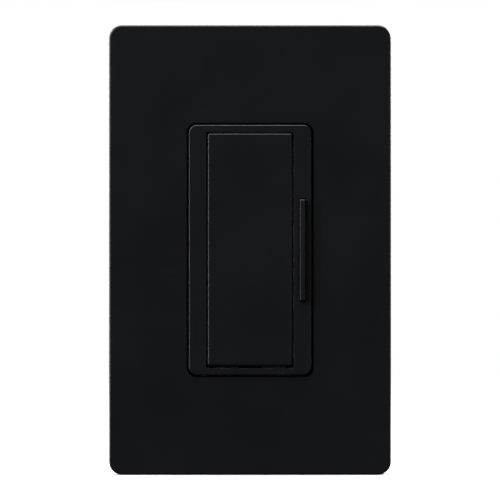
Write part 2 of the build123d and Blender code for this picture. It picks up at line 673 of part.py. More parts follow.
def make_tap_paddle():
    inside_width = PADDLE_WIDTH - 2 * PADDLE_SHELL
    inside_length = PADDLE_LENGTH - 2 * PADDLE_SHELL
    depth = PADDLE_DEPTH - PADDLE_SHELL
    with BuildPart() as paddle:
        with BuildSketch(at(PADDLE_BACK)):
            with Locations((0, PADDLE_Z)):
                Rectangle(PADDLE_WIDTH, PADDLE_LENGTH)
        extrude(amount=PADDLE_DEPTH)
        # the lower edge has the largest round, where a finger presses
        fillet(room_face(paddle).edges().sort_by(Axis.Z)[0], PADDLE_FOOT_EDGE)
        fillet(paddle.edges().filter_by(Axis.Y), PADDLE_CORNER)
        fillet(room_face(paddle).edges().sort_by(Axis.Z)[1:], PADDLE_EDGE)
        with BuildSketch(at(PADDLE_BACK)):
            with Locations((0, PADDLE_Z)):
                Rectangle(inside_width, inside_length)
        extrude(amount=depth, mode=Mode.SUBTRACT)
        # stiffening ribs across the back
        with BuildSketch(at(PADDLE_INSIDE)):
            with Locations((0, PADDLE_Z)):
                with GridLocations(0, PADDLE_LENGTH / 4, 1, 3):
                    Rectangle(inside_width, PADDLE_RIB)
            with Locations((0, PADDLE_POST_Z)):
                Circle(COIL_RADIUS + 2 * COIL_WIRE, mode=Mode.SUBTRACT)
        extrude(amount=-depth / 2)
        # hinge pins, one at each side
        for side in (1, -1):
            pin_start = PADDLE_WIDTH / 2 - PADDLE_SHELL
            with BuildSketch(side_plane(side, pin_start, -PADDLE_HINGE_HEIGHT, PADDLE_HINGE_Z)):
                Circle(PADDLE_PIN_RADIUS)
            extrude(amount=PIN_TIP_X - pin_start)
        # the post that presses the tap switch
        with BuildSketch(at(PADDLE_INSIDE)):
            with Locations((0, PADDLE_POST_Z)):
                Circle(PADDLE_POST_RADIUS)
        extrude(amount=-(PADDLE_INSIDE + POST_TIP))
        # clears the air-gap tab's arm
        with BuildSketch(at(PADDLE_BACK)):
            with Locations((0, PADDLE_FOOT)):
                Rectangle(TAB_ARM_WIDTH + 2 * ARM_CLEARANCE, 3 * PADDLE_SHELL)
        extrude(amount=depth, mode=Mode.SUBTRACT)
    return paddle.part


def make_paddle_spring():
    """A coil round the paddle's post, between the paddle and the yoke."""
    base = YOKE_THICKNESS + COIL_WIRE + STACK_CLEARANCE
    length = PADDLE_INSIDE - COIL_WIRE - STACK_CLEARANCE - base
    with BuildPart() as coil:
        with BuildLine():
            path = Helix(length / COIL_TURNS, length, COIL_RADIUS, (0, -base, PADDLE_POST_Z), (0, -1, 0))
        with BuildSketch(Plane(origin=path @ 0, z_dir=path % 0)):
            Circle(COIL_WIRE)
        sweep(is_frenet=True)
    return coil.part


def make_dimming_rocker():
    with BuildPart() as rocker:
        with BuildSketch(at(ROCKER_BACK)):
            with Locations((ROCKER_X, 0)):
                Rectangle(ROCKER_WIDTH, ROCKER_LENGTH)
        extrude(amount=ROCKER_HEIGHT - ROCKER_BACK)
        fillet(room_face(rocker).edges(), ROCKER_EDGE)
        # two feet, each with a rounded end on its switch's plunger
        for side in (1, -1):
            foot_end = -POST_TIP + ROCKER_FOOT_LENGTH / 2
            with BuildSketch(Plane.YZ.offset(ROCKER_X)):
                with Locations((-foot_end, side * ROCKER_FOOT_Z)):
                    Circle(ROCKER_FOOT_LENGTH / 2)
                with Locations((-(foot_end + ROCKER_BACK) / 2, side * ROCKER_FOOT_Z)):
                    Rectangle(ROCKER_BACK - foot_end, ROCKER_FOOT_LENGTH)
            extrude(amount=ROCKER_WIDTH / 2, both=True)
        pin_start = PARTITION_NEAR + PIVOT_END_CLEARANCE
        with BuildSketch(side_plane(1, pin_start, -ROCKER_HINGE_HEIGHT, 0)):
            Circle(ROCKER_PIN_RADIUS)
        extrude(amount=WELL_WIDTH / 2 + PIVOT_BORE_DEPTH - PIVOT_END_CLEARANCE - pin_start)
    return rocker.part


def make_air_gap_tab():
    """The front block fills the bezel's notch; an arm and a stem carry its push to the leaf contact."""
    front_z = (TAB_FOOT + TAB_TOP) / 2
    stem_top = TAB_STEM_Z + TAB_ARM_THICKNESS / 2
    with BuildPart() as tab:
        with BuildSketch(at(TAB_BACK)):
            with Locations((0, front_z)):
                Rectangle(TAB_WIDTH, TAB_THICKNESS)
        extrude(amount=BEZEL_HEIGHT - TAB_BACK)
        fillet(room_face(tab).edges().filter_by(Axis.X).sort_by(Axis.Z)[0], BEZEL_EDGE)
        # a groove for a fingernail under the front edge
        with BuildSketch(at(BEZEL_HEIGHT - 2 * TAB_GROOVE)):
            with Locations((0, TAB_FOOT)):
                Rectangle(TAB_WIDTH - 2 * BEZEL_WALL, 2 * TAB_GROOVE)
        extrude(amount=-TAB_GROOVE, mode=Mode.SUBTRACT)
        with BuildSketch(at(TAB_BACK)):
            with Locations((0, (front_z + stem_top) / 2)):
                Rectangle(TAB_ARM_WIDTH, stem_top - front_z)
        extrude(amount=TAB_ARM_THICKNESS)
        with BuildSketch(at(TAB_BACK)):
            with Locations((0, TAB_STEM_Z)):
                Rectangle(TAB_ARM_WIDTH, TAB_ARM_THICKNESS)
        extrude(amount=TAB_STEM_END - TAB_BACK)
        fillet(tab.faces().sort_by(Axis.Y)[-1].edges().filter_by(Axis.Z), TAB_ARM_THICKNESS)
    return tab.part


# ------------------------------------------------------------------ housing and terminals
def make_back_housing():
    with BuildPart() as housing:
        with BuildSketch(at(-HOUSING_DEPTH)):
            RectangleRounded(HOUSING_WIDTH, HOUSING_LENGTH, HOUSING_CORNER)
        extrude(amount=HOUSING_DEPTH)
        chamfer(housing.faces().sort_by(Axis.Y)[-1].edges(), HOUSING_EDGE)
        with BuildSketch(at(0)):
            Rectangle(HOUSING_INNER_WIDTH, HOUSING_INNER_LENGTH)
        extrude(amount=HOUSING_BACK - HOUSING_DEPTH, mode=Mode.SUBTRACT)
        # corner bosses, each joined to the two walls beside it
        with BuildSketch(at(0)):
            for x in (1, -1):
                for z in (1, -1):
                    with Locations((x * BOSS_X, z * BOSS_Z)):
                        Circle(BOSS_RADIUS)
                    with Locations((x * (BOSS_X + BOSS_RADIUS / 2), z * BOSS_Z)):
                        Rectangle(BOSS_RADIUS, 2 * BOSS_RADIUS)
                    with Locations((x * BOSS_X, z * (BOSS_Z + BOSS_RADIUS / 2))):
                        Rectangle(2 * BOSS_RADIUS, BOSS_RADIUS)
        extrude(amount=-BOSS_DEPTH)
        # ledges that the circuit board lies on
        with BuildSketch(at(-BOARD_BACK)):
            with GridLocations(HOUSING_INNER_WIDTH - LEDGE_THICKNESS, HOUSING_INNER_LENGTH / 2, 2, 2):
                Rectangle(LEDGE_THICKNESS, LEDGE_LENGTH)
        extrude(amount=-LEDGE_DEPTH)
        with BuildSketch(at(-POCKET_START + POCKET_WALL)):
            for side, z in TERMINALS.values():
                with Locations((side * (POCKET_FLOOR_X - POCKET_WALL + HOUSING_WIDTH / 2) / 2, z)):
                    Rectangle(POCKET_DEPTH + POCKET_WALL, POCKET_WIDTH + 2 * POCKET_WALL)
        extrude(amount=POCKET_START - POCKET_WALL - HOUSING_DEPTH + HOUSING_BACK)
        with BuildSketch(at(-POCKET_START)):
            for side, z in TERMINALS.values():
                with Locations((side * (POCKET_FLOOR_X + POCKET_DEPTH), z)):
                    Rectangle(2 * POCKET_DEPTH, POCKET_WIDTH)
        extrude(amount=POCKET_START - HOUSING_DEPTH, mode=Mode.SUBTRACT)
        for side, z in TERMINALS.values():
            with BuildSketch(side_plane(side, POCKET_FLOOR_X, TERMINAL_DEPTH, z)):
                Circle(TERMINAL_THREAD_RADIUS + SCREW_HOLE_CLEARANCE)
            extrude(amount=-POCKET_WALL, mode=Mode.SUBTRACT)
        for x, z in HOUSING_SCREWS:
            with BuildSketch(at(0)):
                with Locations((x, z)):
                    Circle(HOUSING_SCREW_RADIUS)
            extrude(amount=-(HOUSING_SCREW_LENGTH + STACK_CLEARANCE), mode=Mode.SUBTRACT)
        # vents through both end walls
        with BuildSketch(Plane.XY):
            with Locations((0, VENT_DEPTH)):
                with GridLocations(VENT_PITCH, 0, VENT_COUNT, 1):
                    SlotOverall(VENT_LENGTH, VENT_WIDTH, rotation=90)
        extrude(amount=HOUSING_LENGTH / 2, both=True, mode=Mode.SUBTRACT)
        # a shallow panel in the back, a wire-stripping gauge in it, and the marks of four ejector pins
        panel_width = 2 * (POCKET_FLOOR_X - POCKET_WALL - PANEL_SIDE_GAP)
        with BuildSketch(at(-HOUSING_DEPTH)):
            RectangleRounded(panel_width, PANEL_LENGTH, HOUSING_CORNER)
        extrude(amount=PANEL_DEPTH, mode=Mode.SUBTRACT)
        with BuildSketch(at(PANEL_DEPTH - HOUSING_DEPTH)):
            SlotOverall(GAUGE_LENGTH, GAUGE_WIDTH, rotation=90)
        extrude(amount=GAUGE_DEPTH, mode=Mode.SUBTRACT)
        with BuildSketch(at(-HOUSING_DEPTH)):
            with GridLocations(panel_width - 2 * EJECTOR_RADIUS, PANEL_LENGTH + 5 * EJECTOR_RADIUS, 2, 2):
                Circle(EJECTOR_RADIUS)
        extrude(amount=EJECTOR_DEPTH, mode=Mode.SUBTRACT)
    return housing.part


def make_clamp_plates():
    with BuildPart() as plates:
        for side, z in TERMINALS.values():
            with BuildSketch(side_plane(side, POCKET_FLOOR_X, TERMINAL_DEPTH, z)):
                RectangleRounded(CLAMP_SIDE, CLAMP_SIDE, 1)
                Circle(TERMINAL_THREAD_RADIUS + SCREW_HOLE_CLEARANCE, mode=Mode.SUBTRACT)
            extrude(amount=CLAMP_THICKNESS)
    return plates.part


def make_terminal_brackets():
    """Threaded brass plates inside the housing, each reaching forward to the circuit board."""
    with BuildPart() as brackets:
        for side, z in TERMINALS.values():
            back = TERMINAL_DEPTH + BRACKET_WIDTH / 2
            front = BOARD_BACK + STACK_CLEARANCE
            with BuildSketch(side_plane(side, BRACKET_OUTER_X, (front + back) / 2, z)):
                Rectangle(back - front, BRACKET_WIDTH)
            extrude(amount=-BRACKET_THICKNESS)
            with BuildSketch(side_plane(side, BRACKET_OUTER_X, TERMINAL_DEPTH, z)):
                Circle(TERMINAL_THREAD_RADIUS + THREAD_CLEARANCE)
            extrude(amount=-BRACKET_THICKNESS, mode=Mode.SUBTRACT)
    return brackets.part


def make_terminal_screw(name):
    side, z = TERMINALS[name]
    with BuildPart() as screw:
        plane = side_plane(side, TERMINAL_SEAT_X, TERMINAL_DEPTH, z)
        length = TERMINAL_SCREW_LENGTH
        pan_screw(plane, TERMINAL_HEAD_RADIUS, TERMINAL_HEAD_HEIGHT, TERMINAL_THREAD_RADIUS, length)
    return screw.part


# ------------------------------------------------------------------ circuit board
def make_insulating_sheet():
    with BuildPart() as sheet:
        with BuildSketch(at(0)):
            RectangleRounded(SHEET_WIDTH, SHEET_LENGTH, 1)
            with Locations(*HOUSING_SCREWS):
                Circle(BOSS_RADIUS + BOARD_CLEARANCE, mode=Mode.SUBTRACT)
                Rectangle(2 * BOSS_RADIUS, 2 * BOSS_RADIUS + 2 * BOARD_CLEARANCE, mode=Mode.SUBTRACT)
            with Locations((0, PADDLE_POST_Z)):
                Circle(PADDLE_POST_RADIUS + ARM_CLEARANCE, mode=Mode.SUBTRACT)
            with Locations((ROCKER_X, ROCKER_FOOT_Z), (ROCKER_X, -ROCKER_FOOT_Z)):
                foot_hole = ROCKER_FOOT_LENGTH + 2 * ARM_CLEARANCE
                Rectangle(ROCKER_WIDTH + 2 * ARM_CLEARANCE, foot_hole, mode=Mode.SUBTRACT)
            with Locations((0, TAB_STEM_Z)):
                arm_hole = TAB_ARM_WIDTH + 2 * ARM_CLEARANCE
                Rectangle(arm_hole, 2 * TAB_ARM_THICKNESS, mode=Mode.SUBTRACT)
            with Locations((TRIAC_X, TRIAC_Z)):
                margin = 2 * (PAD_MARGIN + BOARD_CLEARANCE)
                Rectangle(TRIAC_WIDTH + margin, TRIAC_LENGTH + margin, mode=Mode.SUBTRACT)
        extrude(amount=-SHEET_THICKNESS)
    return sheet.part


def make_circuit_board():
    with BuildPart() as board:
        with BuildSketch(at(-BOARD_FRONT)):
            RectangleRounded(BOARD_WIDTH, BOARD_LENGTH, 1)
            for x, z in HOUSING_SCREWS:
                reach = 2 * BOSS_RADIUS + 2 * BOARD_CLEARANCE
                with Locations((x, z)):
                    Rectangle(reach, reach, mode=Mode.SUBTRACT)
            with Locations((0, TAB_STEM_Z)):
                arm_hole = TAB_ARM_WIDTH + 2 * ARM_CLEARANCE
                Rectangle(arm_hole, 2 * TAB_ARM_THICKNESS, mode=Mode.SUBTRACT)
            with Locations((TRIAC_X, TRIAC_Z)):
                Rectangle(TRIAC_WIDTH + 2 * TRIAC_MARGIN, TRIAC_LENGTH + 2 * TRIAC_MARGIN, mode=Mode.SUBTRACT)
            with Locations((CHOKE_X, CHOKE_Z)):
                Circle(1.2, mode=Mode.SUBTRACT)
        extrude(amount=-BOARD_THICKNESS)
    return board.part


def make_switch_housing(name):
    x, z = SWITCHES[name]
    with BuildPart() as base:
        with BuildSketch(seat(-BOARD_FRONT, x, z)):
            RectangleRounded(SWITCH_SIDE, SWITCH_SIDE, 0.4)
        extrude(amount=BOARD_FRONT - SWITCH_BASE_TOP)
        with BuildSketch(seat(-SWITCH_BASE_TOP, x, z)):
            Circle(PLUNGER_RADIUS + PLUNGER_CLEARANCE)
        extrude(amount=SWITCH_BASE_TOP + PLUNGER_FLOOR - BOARD_FRONT, mode=Mode.SUBTRACT)
    return base.part


def make_switch_covers():
    """The stamped metal cover of each push switch, with its collar round the plunger."""
    with BuildPart() as covers:
        for x, z in SWITCHES.values():
            with BuildSketch(seat(-SWITCH_BASE_TOP, x, z)):
                RectangleRounded(SWITCH_SIDE, SWITCH_SIDE, 0.4)
                Circle(PLUNGER_RADIUS + PLUNGER_CLEARANCE, mode=Mode.SUBTRACT)
            extrude(amount=SWITCH_COVER)
    return covers.part


def make_switch_legs():
    """Four soldered legs on each push switch, flat on the circuit board."""
    with BuildPart() as legs:
        for x, z in SWITCHES.values():
            with BuildSketch(seat(-BOARD_FRONT, x, z)):
                with GridLocations(SWITCH_SIDE + TERMINAL_LEG, SWITCH_SIDE * 0.7, 2, 2):
                    Rectangle(TERMINAL_LEG, TERMINAL_LEG)
            extrude(amount=LEG_THICKNESS)
    return legs.part


def make_plunger(name):
    x, z = SWITCHES[name]
    travel = PADDLE_POST_REACH * sin(radians(PADDLE_PRESS_DEG))
    with BuildPart() as plunger:
        with BuildSketch(seat(-PLUNGER_TOP, x, z)):
            Circle(PLUNGER_RADIUS)
        extrude(amount=PLUNGER_TOP + PLUNGER_FLOOR + travel + STACK_CLEARANCE - BOARD_FRONT)
        fillet(plunger.faces().sort_by(Axis.Y)[0].edges(), PLUNGER_RADIUS / 8)
    return plunger.part


def make_triac():
    """A three-leg power switch: metal tab on the yoke, moulded body, leads bent back into the board."""
    foot_z = TRIAC_Z - TRIAC_LENGTH / 2
    body_z = foot_z + TRIAC_BODY_LENGTH / 2
    lead_height = TRIAC_FRONT + TRIAC_BODY * 0.55
    lead = 2 * LEAD_RADIUS
    with BuildPart() as triac:
        with BuildSketch(at(-TRIAC_FRONT)):
            with Locations((TRIAC_X, TRIAC_Z)):
                RectangleRounded(TRIAC_WIDTH, TRIAC_LENGTH, 0.5)
            with Locations((TRIAC_X, rivet_z())):
                Circle(RIVET_RADIUS + THREAD_CLEARANCE, mode=Mode.SUBTRACT)
        extrude(amount=-TRIAC_TAB)
        with BuildSketch(at(-TRIAC_FRONT - TRIAC_TAB)):
            with Locations((TRIAC_X, body_z)):
                Rectangle(TRIAC_WIDTH, TRIAC_BODY_LENGTH)
        extrude(amount=TRIAC_TAB - TRIAC_BODY, taper=4)
        with BuildSketch(at(-lead_height)):
            with Locations((TRIAC_X, foot_z + (lead - LEAD_REACH) / 2)):
                with GridLocations(LEAD_PITCH, 0, 3, 1):
                    Rectangle(lead, LEAD_REACH + lead)
        extrude(amount=-lead)
        with BuildSketch(at(-lead_height)):
            with Locations((TRIAC_X, foot_z - LEAD_REACH + lead / 2)):
                with GridLocations(LEAD_PITCH, 0, 3, 1):
                    Rectangle(lead, lead)
        extrude(amount=lead_height - BOARD_FRONT)
    return triac.part


def make_triac_pad():
    with BuildPart() as pad:
        with BuildSketch(at(0)):
            with Locations((TRIAC_X, TRIAC_Z)):
                RectangleRounded(TRIAC_WIDTH + 2 * PAD_MARGIN, TRIAC_LENGTH + 2 * PAD_MARGIN, PAD_MARGIN)
            with Locations((TRIAC_X, rivet_z())):
                Circle(RIVET_RADIUS + THREAD_CLEARANCE, mode=Mode.SUBTRACT)
        extrude(amount=-PAD_THICKNESS)
    return pad.part


def make_triac_rivet():
    """A rivet through the yoke and the triac's tab, with a round head on each side."""
    stack = YOKE_THICKNESS + TRIAC_FRONT + TRIAC_TAB
    with BuildPart() as rivet:
        shank = RIVET_RADIUS - THREAD_CLEARANCE
        turned(
            seat(YOKE_THICKNESS, TRIAC_X, rivet_z()),
            [
                (0, RIVET_HEAD_HEIGHT),
                (RIVET_HEAD * 0.7, RIVET_HEAD_HEIGHT * 0.85),
                (RIVET_HEAD, 0),
                (shank, 0),
                (shank, -stack),
                (RIVET_HEAD, -stack),
                (RIVET_HEAD * 0.8, -stack - RIVET_HEAD_HEIGHT),
                (0, -stack - RIVET_HEAD_HEIGHT),
            ],
        )
    return rivet.part


def choke_plane():
    gap = 4 * CHOKE_WIRE
    return seat(-BOARD_BACK - gap, CHOKE_X, CHOKE_Z)


def make_choke_core():
    with BuildPart() as core:
        with BuildSketch(choke_plane()):
            Circle(CHOKE_OUTER)
            Circle(CHOKE_INNER, mode=Mode.SUBTRACT)
        extrude(amount=-CHOKE_HEIGHT)
        fillet(core.edges().filter_by(GeomType.CIRCLE), 0.6)
    return core.part


def make_choke_winding():
    """Turns of enamelled wire round the ring core, each a closed loop in its own radial plane."""
    base = choke_plane()
    clear = CHOKE_WIRE + COIL_GAP
    ring = (CHOKE_OUTER + CHOKE_INNER) / 2
    with BuildPart() as winding:
        for turn in range(CHOKE_TURNS):
            angle = 2 * pi * turn / CHOKE_TURNS
            out = base.x_dir * cos(angle) + base.y_dir * sin(angle)
            middle = base.origin + out * ring - base.z_dir * CHOKE_HEIGHT / 2
            loop_plane = Plane(origin=middle, x_dir=out, z_dir=out.cross(base.z_dir))
            with BuildSketch(loop_plane):
                width = CHOKE_OUTER - CHOKE_INNER + 2 * clear
                height = CHOKE_HEIGHT + 2 * clear
                RectangleRounded(width + CHOKE_WIRE, height + CHOKE_WIRE, 1.2)
                RectangleRounded(width - CHOKE_WIRE, height - CHOKE_WIRE, 0.75, mode=Mode.SUBTRACT)
            extrude(amount=CHOKE_WIRE * 0.7, both=True)
    return winding.part


def make_film_capacitor():
    with BuildPart() as box:
        with BuildSketch(at(-BOARD_BACK)):
            with Locations((FILM_X, FILM_Z)):
                RectangleRounded(FILM_WIDTH, FILM_LENGTH, 0.4)
        extrude(amount=-FILM_HEIGHT)
        fillet(box.faces().sort_by(Axis.Y)[-1].edges(), 0.4)
    return box.part


def make_electrolytic_capacitor():
    with BuildPart() as can:
        rim = CAN_RADIUS * 0.9
        turned(
            seat(-BOARD_BACK, CAN_X, CAN_Z),
            [
                (0, 0),
                (CAN_RADIUS, 0),
                (CAN_RADIUS, -1.0),
                (rim, -1.4),
                (CAN_RADIUS, -1.8),
                (CAN_RADIUS, -CAN_HEIGHT + 0.5),
                (rim, -CAN_HEIGHT),
                (0, -CAN_HEIGHT + 0.2),
            ],
        )
    return can.part


def make_microcontroller():
    legs = 7
    pitch = 1.2
    with BuildPart() as chip:
        with BuildSketch(at(-BOARD_BACK - LEG_THICKNESS)):
            with Locations((CHIP_X, CHIP_Z)):
                Rectangle(CHIP_WIDTH * 0.65, CHIP_LENGTH)
        extrude(amount=LEG_THICKNESS - CHIP_HEIGHT)
        with BuildSketch(at(-BOARD_BACK)):
            with Locations((CHIP_X, CHIP_Z)):
                with GridLocations(0, pitch, 1, legs):
                    Rectangle(CHIP_WIDTH, pitch / 3)
        extrude(amount=-2 * LEG_THICKNESS)
    return chip.part


def make_fuse():
    """A glass-bodied fuse with metal end caps, flat on the board."""
    axis_depth = BOARD_BACK + FUSE_RADIUS
    with BuildPart() as fuse:
        with BuildSketch(side_plane(1, FUSE_X - FUSE_LENGTH / 2, axis_depth, FUSE_Z)):
            Circle(FUSE_RADIUS * 0.85)
        extrude(amount=FUSE_LENGTH)
        for end in (FUSE_X - FUSE_LENGTH / 2, FUSE_X + FUSE_LENGTH / 2 - FUSE_CAP):
            with BuildSketch(side_plane(1, end, axis_depth, FUSE_Z)):
                Circle(FUSE_RADIUS)
            extrude(amount=FUSE_CAP)
    return fuse.part


def make_resistors():
    with BuildPart() as resistors:
        for column in (-1, 0, 1):
            x = column * (RESISTOR_LENGTH + RESISTOR_GAP)
            plane = side_plane(1, x - RESISTOR_LENGTH / 2, BOARD_BACK + RESISTOR_RADIUS, RESISTOR_Z)
            with BuildSketch(plane):
                Circle(RESISTOR_RADIUS * 0.85)
            extrude(amount=RESISTOR_LENGTH)
            for end in (0, RESISTOR_LENGTH - BAND_LENGTH):
                with BuildSketch(plane.offset(end)):
                    Circle(RESISTOR_RADIUS)
                extrude(amount=BAND_LENGTH)
            with BuildSketch(plane.offset(-RESISTOR_GAP / 3)):
                Circle(LEAD_RADIUS)
            extrude(amount=RESISTOR_LENGTH + 2 * RESISTOR_GAP / 3)
    return resistors.part


# ------------------------------------------------------------------ air-gap contacts
def make_air_gap_leaf():
    """A springy strip anchored on the board; the tab's stem presses its free end onto the fixed contact."""
    front = -TAB_STEM_END + STACK_CLEARANCE
    end_x = LEAF_CONTACT_X + CONTACT_RADIUS + 0.6
    with BuildPart() as leaf:
        with BuildSketch(at(-front)):
            with Locations(((LEAF_START_X + end_x) / 2, TAB_STEM_Z)):
                Rectangle(end_x - LEAF_START_X, LEAF_WIDTH)
        extrude(amount=-LEAF_THICKNESS)
        with BuildSketch(at(-BOARD_BACK)):
            with Locations((LEAF_START_X + 0.5, TAB_STEM_Z)):
                Rectangle(1, LEAF_WIDTH)
        extrude(amount=BOARD_BACK - front)
        with BuildSketch(at(-front - LEAF_THICKNESS)):
            with Locations((LEAF_CONTACT_X, TAB_STEM_Z)):
                Circle(CONTACT_RADIUS)
        extrude(amount=-CONTACT_HEIGHT)
    return leaf.part


def make_air_gap_contact():
    """The fixed contact on its brass post."""
    face = -TAB_STEM_END + STACK_CLEARANCE + LEAF_THICKNESS + CONTACT_HEIGHT + CONTACT_GAP
    post_x = LEAF_CONTACT_X + CONTACT_RADIUS + 2.2
    with BuildPart() as contact:
        with BuildSketch(at(-face)):
            with Locations((LEAF_CONTACT_X, TAB_STEM_Z)):
                Circle(CONTACT_RADIUS)
        extrude(amount=-CONTACT_HEIGHT)
        with BuildSketch(at(-face - CONTACT_HEIGHT)):
            with Locations(((LEAF_CONTACT_X - CONTACT_RADIUS + post_x) / 2, TAB_STEM_Z)):
                Rectangle(post_x - LEAF_CONTACT_X + CONTACT_RADIUS, LEAF_WIDTH)
        extrude(amount=-1)
        with BuildSketch(at(-BOARD_BACK)):
            with Locations((post_x - 0.5, TAB_STEM_Z)):
                Rectangle(1, LEAF_WIDTH)
        extrude(amount=BOARD_BACK - face - CONTACT_HEIGHT - 1)
    return contact.part


PARTS = {
    "wallplate_cover": make_wallplate_cover(),
    "adapter_plate": make_adapter_plate(),
    "adapter_screws": make_adapter_screws(),
    "mounting_yoke": make_mounting_yoke(),
    "box_screws": make_box_screws(),
    "screw_retainers": make_screw_retainers(),
    "ground_screw": make_ground_screw(),
    "housing_screws": make_housing_screws(),
    "bezel": make_bezel(),
    "tap_paddle": make_tap_paddle(),
    "paddle_spring": make_paddle_spring(),
    "dimming_rocker": make_dimming_rocker(),
    "air_gap_tab": make_air_gap_tab(),
    "back_housing": make_back_housing(),
    "clamp_plates": make_clamp_plates(),
    "terminal_brackets": make_terminal_brackets(),
    "line_terminal_screw": make_terminal_screw("line"),
    "load_terminal_screw": make_terminal_screw("load"),
    "companion_terminal_screw": make_terminal_screw("companion"),
    "insulating_sheet": make_insulating_sheet(),
    "circuit_board": make_circuit_board(),
    "tap_switch_housing": make_switch_housing("tap"),
    "raise_switch_housing": make_switch_housing("raise"),
    "lower_switch_housing": make_switch_housing("lower"),
    "tap_switch_plunger": make_plunger("tap"),
    "raise_switch_plunger": make_plunger("raise"),
    "lower_switch_plunger": make_plunger("lower"),
    "switch_cover_plates": make_switch_covers(),
    "switch_legs": make_switch_legs(),
    "triac": make_triac(),
    "triac_pad": make_triac_pad(),
    "triac_rivet": make_triac_rivet(),
    "choke_core": make_choke_core(),
    "choke_winding": make_choke_winding(),
    "film_capacitor": make_film_capacitor(),
    "electrolytic_capacitor": make_electrolytic_capacitor(),
    "microcontroller": make_microcontroller(),
    "fuse": make_fuse(),
    "resistors": make_resistors(),
    "air_gap_leaf": make_air_gap_leaf(),
    "air_gap_contact": make_air_gap_contact(),
}

os.makedirs("parts", exist_ok=True)
for name, piece in PARTS.items():
    piece.label = name
    export_step(piece, f"parts/{name}.step")
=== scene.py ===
"""Looks of a wall dimmer with a tap paddle, a raise and lower rocker and an air-gap tab.

Laid out as a Blender add-on: each operator dresses or models one group of pieces, and main() calls them in
order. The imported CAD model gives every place, in metres: +Z up, -Y towards the room, the wall at y = 0.
"""

from math import atan, pi, radians, tan

import bpy
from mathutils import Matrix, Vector


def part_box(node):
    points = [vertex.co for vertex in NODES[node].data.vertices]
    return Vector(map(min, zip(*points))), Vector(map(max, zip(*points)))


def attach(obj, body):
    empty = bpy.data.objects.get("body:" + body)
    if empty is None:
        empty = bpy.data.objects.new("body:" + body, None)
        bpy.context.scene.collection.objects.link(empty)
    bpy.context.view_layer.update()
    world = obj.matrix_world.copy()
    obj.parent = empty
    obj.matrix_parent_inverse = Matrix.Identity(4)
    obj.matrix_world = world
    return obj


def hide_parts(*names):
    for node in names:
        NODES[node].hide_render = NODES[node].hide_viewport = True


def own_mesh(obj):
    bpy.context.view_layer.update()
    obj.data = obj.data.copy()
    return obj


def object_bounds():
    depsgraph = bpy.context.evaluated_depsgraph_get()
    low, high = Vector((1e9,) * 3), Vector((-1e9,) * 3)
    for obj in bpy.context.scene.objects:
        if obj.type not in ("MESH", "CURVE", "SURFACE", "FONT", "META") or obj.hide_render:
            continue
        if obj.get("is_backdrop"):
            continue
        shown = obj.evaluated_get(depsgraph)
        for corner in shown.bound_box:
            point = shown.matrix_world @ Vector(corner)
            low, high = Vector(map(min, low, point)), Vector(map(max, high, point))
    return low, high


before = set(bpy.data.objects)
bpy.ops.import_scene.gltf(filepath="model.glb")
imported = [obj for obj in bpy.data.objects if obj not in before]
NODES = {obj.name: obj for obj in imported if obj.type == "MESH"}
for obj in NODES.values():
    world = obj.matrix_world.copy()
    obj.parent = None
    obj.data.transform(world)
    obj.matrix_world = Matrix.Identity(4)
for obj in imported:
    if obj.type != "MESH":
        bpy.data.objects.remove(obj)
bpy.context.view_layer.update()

bl_info = {
    "name": "Wall Dimmer",
    "version": (1, 0, 0),
    "blender": (4, 5, 0),
    "location": "3D View > Sidebar > Dimmer",
    "description": "Finishes, threaded screws and a studio for a paddle dimmer",
    "category": "Object",
}

MM = 0.001

# modelling
ROUND_SIDES = 48  # of a head or a hole
WIRE_SIDES = 14
SMOOTH_ANGLE = radians(30)
COUNTERSINK_ANGLE = radians(41)  # from a screw's axis to its countersunk face
OVERLAP = 0.15 * MM  # by which joined shapes go into each other
LAND = 0.12 * MM  # upright rim of a countersunk head
DRIVE_REACH = 0.55  # length of a cross's arm, as a share of its head's radius
DRIVE_TAPER = 0.55  # width of a cross at its bottom, as a share of the top
TIP_TAPER = 0.72  # radius of a screw's tip, as a share of the core's
TIP_LENGTH = 0.6  # of a screw's tip, in pitches
COLLAR = 0.08 * MM  # by which the collar under a head is wider than the core
SHORT_SHANK = 0.05 * MM  # by which the short screws' shanks are thinner than the box screws'
TERMINAL_NECK = 0.5 * MM  # plain length under a terminal screw's head
CLAMP_ROUND = 0.64  # radius of the circle that trims a clamp's corners, as a share of its side
CLAMP_PLAY = 0.15 * MM  # between a clamp and its screw
SPRING_TURNS = 5

# name, place, power in watts, width and height of each soft light, which shines at the origin
LIGHTS = (
    ("key", (-2.40, -2.35, 2.20), 92.0, 1.05, 1.05),
    ("left_strip", (-3.00, -1.75, 0.35), 72.0, 0.60, 2.7),
    ("top_strip", (-0.15, -1.50, 3.00), 34.0, 2.7, 0.60),
    ("right_fill", (1.40, -2.60, 0.30), 3.5, 0.8, 0.6),
    ("overhead", (0.0, 0.15, 1.6), 42.0, 1.4, 1.0),
    ("right_back_fill", (1.3, 1.2, 0.7), 60.0, 1.2, 1.2),
    ("left_back_fill", (-1.4, 1.1, 0.5), 36.0, 1.2, 1.2),
)
WORLD_LIGHT = 0.02  # grey of the world as a source of light


# ------------------------------------------------------------------ sizes and colours a user would change
def length(name, description, default):
    return bpy.props.FloatProperty(
        name=name,
        description=description,
        default=default,
        min=0,
        precision=5,
        subtype="DISTANCE",
        unit="LENGTH",
    )


def colour(name, description, default):
    return bpy.props.FloatVectorProperty(
        name=name, description=description, default=default, min=0, max=1, size=3, subtype="COLOR"
    )


